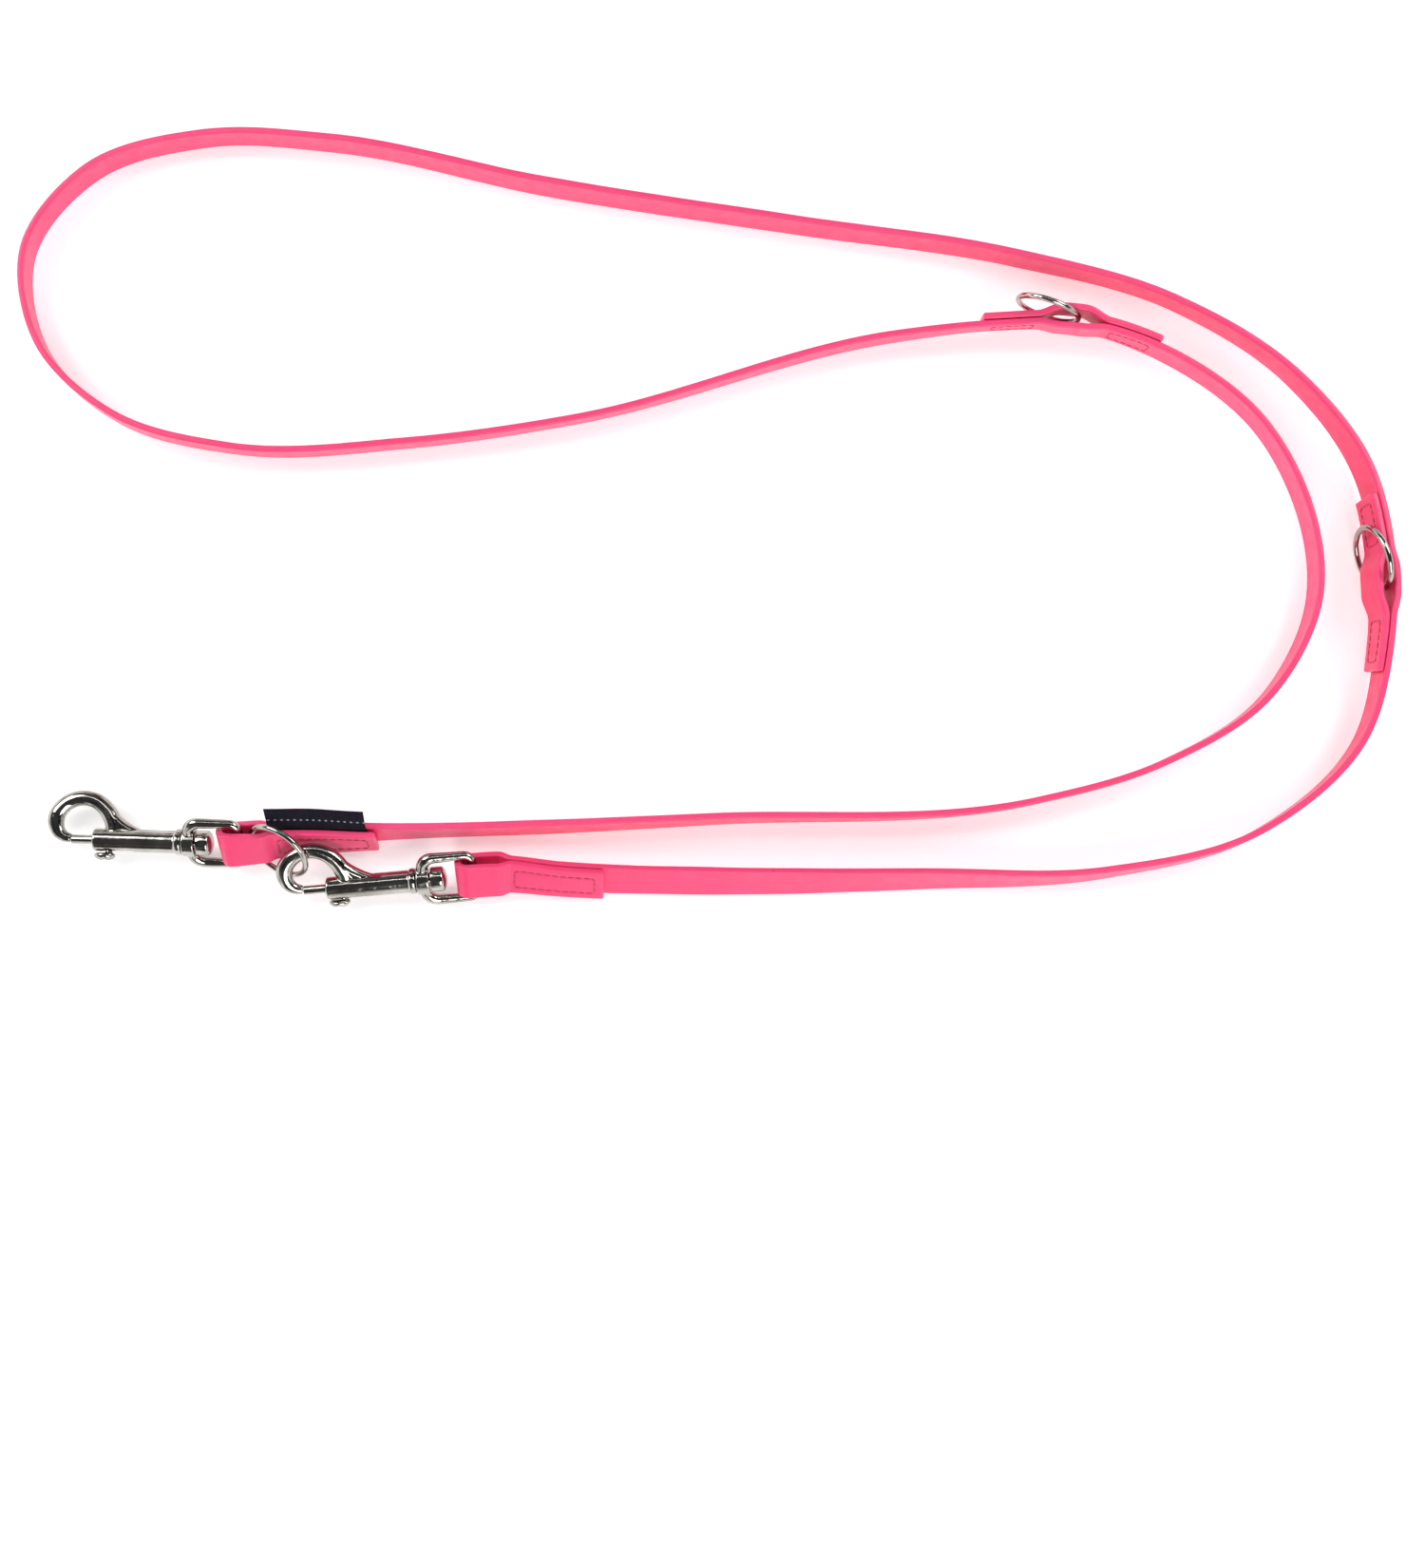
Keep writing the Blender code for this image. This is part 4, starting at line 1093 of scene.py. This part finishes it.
def hook_mesh(name, turn):
    """Barrel and hook in one casting, bored for the bolt, with a slot for the thumb stem."""
    rear, front = at(BARREL_REAR), at(BARREL_FRONT)
    barrel = [
        (rear, FLANGE_R - CAST_CORNER),
        (rear + CAST_CORNER, FLANGE_R),
        (rear + BARREL_FLANGE - CAST_CORNER, FLANGE_R),
        (rear + BARREL_FLANGE, BARREL_R),
        (front - CAST_CORNER, BARREL_R),
        (front, BARREL_R - CAST_CORNER),
    ]
    bore = [
        (rear - MM, BORE_R),
        (front - NOSE_WALL, BORE_R),
        (front - (NOSE_WALL - HAIR), NOSE_BORE_R),
        (front + MM / 2, NOSE_BORE_R),
    ]
    room = STEM_R + SLOT_END_GAP
    low = at(STEM_AT) - BOLT_TRAVEL - room
    high = at(STEM_AT) + room
    wide = SLOT_HALF_WIDTH
    corners = [(low, -wide), (high, -wide), (high, wide), (low, wide)]
    bottom = [(x, -BARREL_R - MM, z) for x, z in corners]
    top = [(x, -BORE_R / 2, z) for x, z in corners]
    shapes = [turned(barrel), cast_bar(HOOK_LINE), cast_bar(WEB_LINE)]
    return cast(name, shapes, [turned(bore), loft([top, bottom])], turn)


def post_mesh(name, turn):
    """The riveted post: a plug in the barrel, a neck through the eye's collar and a domed head."""
    profile = [(at(HEAD_FROM), HEAD_R * 0.10)]
    for angle in np.radians(np.linspace(20, 90, 9)):
        profile.append((at(HEAD_FROM) + HEAD_DOME * (1 - math.cos(angle)), HEAD_R * math.sin(angle)))
    profile += [
        (at(HEAD_TO), HEAD_R),
        (at(HEAD_TO) + 2 * HAIR, NECK_R),
        (at(BARREL_REAR), NECK_R),
        (at(BARREL_REAR) + 2 * HAIR, BORE_R - GAP),
        (at(PLUG_TO), BORE_R - GAP),
        (at(PLUG_TO) + HAIR, 0.0004),
    ]
    return moved(new_mesh(name, *turned(rounded(profile, TURNED_CORNER)), 50), turn)


def bolt_mesh(name, turn):
    nose = BARREL_FRONT - NOSE_WALL - GAP
    tip = TIP_SEAT - GAP
    profile = [
        (at(PLUNGER_REAR), 0.0005),
        (at(PLUNGER_REAR) + HAIR, PLUNGER_R),
        (at(nose), PLUNGER_R),
        (at(nose) + 2 * HAIR, BOLT_R),
        (at(tip), BOLT_R),
        (at(tip) + HAIR, 0.0004),
    ]
    return moved(new_mesh(name, *turned(rounded(profile, TURNED_CORNER)), 50), turn)


def knob_mesh(name, turn):
    """The thumb knob: a stem through the barrel's slot and a low mushroom head with a grip dip."""
    base = BARREL_R + KNOB_CLEAR
    depth, half_width, full_at = KNOB_DIP
    profile = [(PLUNGER_R + GAP, STEM_R), (base, STEM_R)] + [(base + rise, r) for rise, r in KNOB_HEAD]
    points, faces = turned(rounded(profile, 0.0004), 56)
    shaped = []
    for out, a, b in points:
        head = out > base + HAIR / 2
        forward = a * KNOB_LONG + KNOB_FORWARD if head else a
        dip = depth * math.exp(-((a / half_width) ** 2)) * ease((out - base) / full_at)
        shaped.append((at(STEM_AT) + forward, -(out - dip), b * KNOB_NARROW if head else b))
    return moved(new_mesh(name, shaped, faces, 50), turn)


def spring_mesh(name, turn):
    start = at(PLUG_TO) + GAP + SPRING_WIRE_R
    end = at(PLUNGER_REAR) - GAP - SPRING_WIRE_R
    steps = SPRING_TURNS * SPRING_STEPS
    ahead = Vector((1.0, 0.0, 0.0))
    rings = []
    for i in range(steps + 1):
        angle = 2 * math.pi * i / SPRING_STEPS
        out = Vector((0.0, math.cos(angle), math.sin(angle)))
        centre = (start + (end - start) * i / steps) * ahead + SPRING_R * out
        rings.append(circle(centre, SPRING_WIRE_R, out, ahead, 10))
    return moved(new_mesh(name, *loft(rings)), turn)


def build_snap(name, nickel, steel):
    swivel = joint(name + "_swivel")
    hinge = joint(name + "_eye_hinge")
    axis = Vector(swivel["axis"]).normalized()
    eye_turn = frame_at(axis, hinge["axis"], hinge["pos_m"])
    turn = frame_at(axis, axis.cross(Vector(HOOK_SIDES[name])), swivel["pos_m"])
    rows = (
        ("cast_eye", eye_mesh, eye_turn, name + "_eye", "eye"),
        ("cast_hook", hook_mesh, turn, name + "_body", "hook"),
        ("riveted_post", post_mesh, turn, name + "_body", "swivel_post"),
        ("bolt", bolt_mesh, turn, name + "_bolt", "gate_bolt"),
        ("knob", knob_mesh, turn, name + "_bolt", "thumb_knob"),
    )
    for kind, build, place, body, node in rows:
        mesh = build(f"{name}_{kind}", place)
        piece(mesh.name, mesh, nickel, "nickel", body, f"{name}_{node}")
    mesh = spring_mesh(name + "_coil", turn)
    coil = piece(mesh.name, mesh, steel, "spring_steel", name + "_body", name + "_bolt_spring")
    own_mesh(coil)


# ---------------------------------------------------------------- stage


def build_stage():
    """A plain pale floor, a cloudy light that fades to a dark ceiling, and four soft lamps."""
    half = FLOOR_SIZE / 2
    corners = [(-half, -half, 0.0), (half, -half, 0.0), (half, half, 0.0), (-half, half, 0.0)]
    floor = link_object("floor", new_mesh("floor", corners, [(0, 1, 2, 3)]))
    paper = Nodes(bpy.data.materials.new("floor_paper"))
    grain = paper.noise(paper.place(), 40.0)
    paper.color(paper.mix(grain, (0.90, 0.90, 0.90), (0.92, 0.92, 0.92)))
    paper.set(roughness=0.9, emission_color=(1.0, 1.0, 1.0, 1.0), emission_strength=FLOOR_GLOW)
    floor.data.materials.append(paper.owner)

    world = bpy.data.worlds.new("studio")
    bpy.context.scene.world = world
    sky = Nodes(world, "Background")
    place = sky.make("ShaderNodeTexCoord").outputs["Generated"]
    split = sky.make("ShaderNodeSeparateXYZ")
    sky.link(place, split.inputs["Vector"])
    ramp = sky.make("ShaderNodeValToRGB")
    stops = ramp.color_ramp.elements
    stops[0].color = (*SKY_LOW, 1.0)
    stops[1].color = (*SKY_HIGH, 1.0)
    for where, level in SKY_LEVELS:
        stop = stops.new(where)
        stop.color = (level, level, level, 1.0)
    sky.link(split.outputs["Z"], ramp.inputs["Fac"])
    cloud = sky.ramp(sky.noise(place, 2.2, 2.0), 0.38, 0.58, 0.05, 1.2)
    scaled = sky.make("ShaderNodeVectorMath", operation="SCALE")
    sky.link(ramp.outputs["Color"], scaled.inputs["Vector"])
    sky.link(cloud, scaled.inputs["Scale"])
    sky.link(scaled.outputs["Vector"], sky.shader.inputs["Color"])
    sky.set(strength=SKY_STRENGTH)

    for name, spot, width, depth, power in LAMPS:
        light = bpy.data.lights.new(name, "AREA")
        light.shape = "RECTANGLE"
        light.size = width
        light.size_y = depth
        light.energy = power
        lamp = link_object(name, light)
        lamp.location = spot
        lamp.rotation_euler = (-Vector(spot)).to_track_quat("-Z", "Y").to_euler()


def build_camera():
    lens = bpy.data.cameras.new("camera")
    lens.sensor_fit = "HORIZONTAL"
    lens.sensor_width = 36.0
    lens.lens = CAMERA_LENS
    lens.clip_start = 0.01
    camera = link_object("camera", lens)
    camera.location = CAMERA_AT
    camera.rotation_euler = (math.radians(CAMERA_TILT), 0.0, 0.0)
    bpy.context.scene.camera = camera


def main():
    build_camera()
    build_stage()
    bpy.context.scene.view_settings.view_transform = "Standard"
    strap = Strap()
    channels = [strap.nearest(MIDDLE_CHANNEL), strap.nearest(SIDE_CHANNEL)]
    seams = Seams(strap, *channels)
    webbing = build_webbing(strap, channels, seams, strap_material())
    tuple(strap.place[0])
    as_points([tuple(p) for p in strap.place[::4]] + [tuple(strap.place[-1])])
    build_stitches(strap, channels, seams, thread_material())
    build_label(strap, label_material())
    light, dark = (0.49, 0.47, 0.43), (0.28, 0.265, 0.24)
    nickel = metal_material("polished_nickel", light, dark, rough_low=0.07, rough_high=0.20, grain=0.00009)
    light, dark = (0.55, 0.55, 0.56), (0.36, 0.36, 0.37)
    steel = metal_material("spring_steel", light, dark, rough_low=0.20, rough_high=0.38, grain=0.00002)
    build_patch_ring("ring_middle", strap, channels[0], 1, MIDDLE_RING, nickel)
    build_patch_ring("ring_side", strap, channels[1], -1, SIDE_RING, nickel)
    build_end_ring(nickel)
    for name in HOOK_SIDES:
        build_snap(name, nickel, steel)


main()
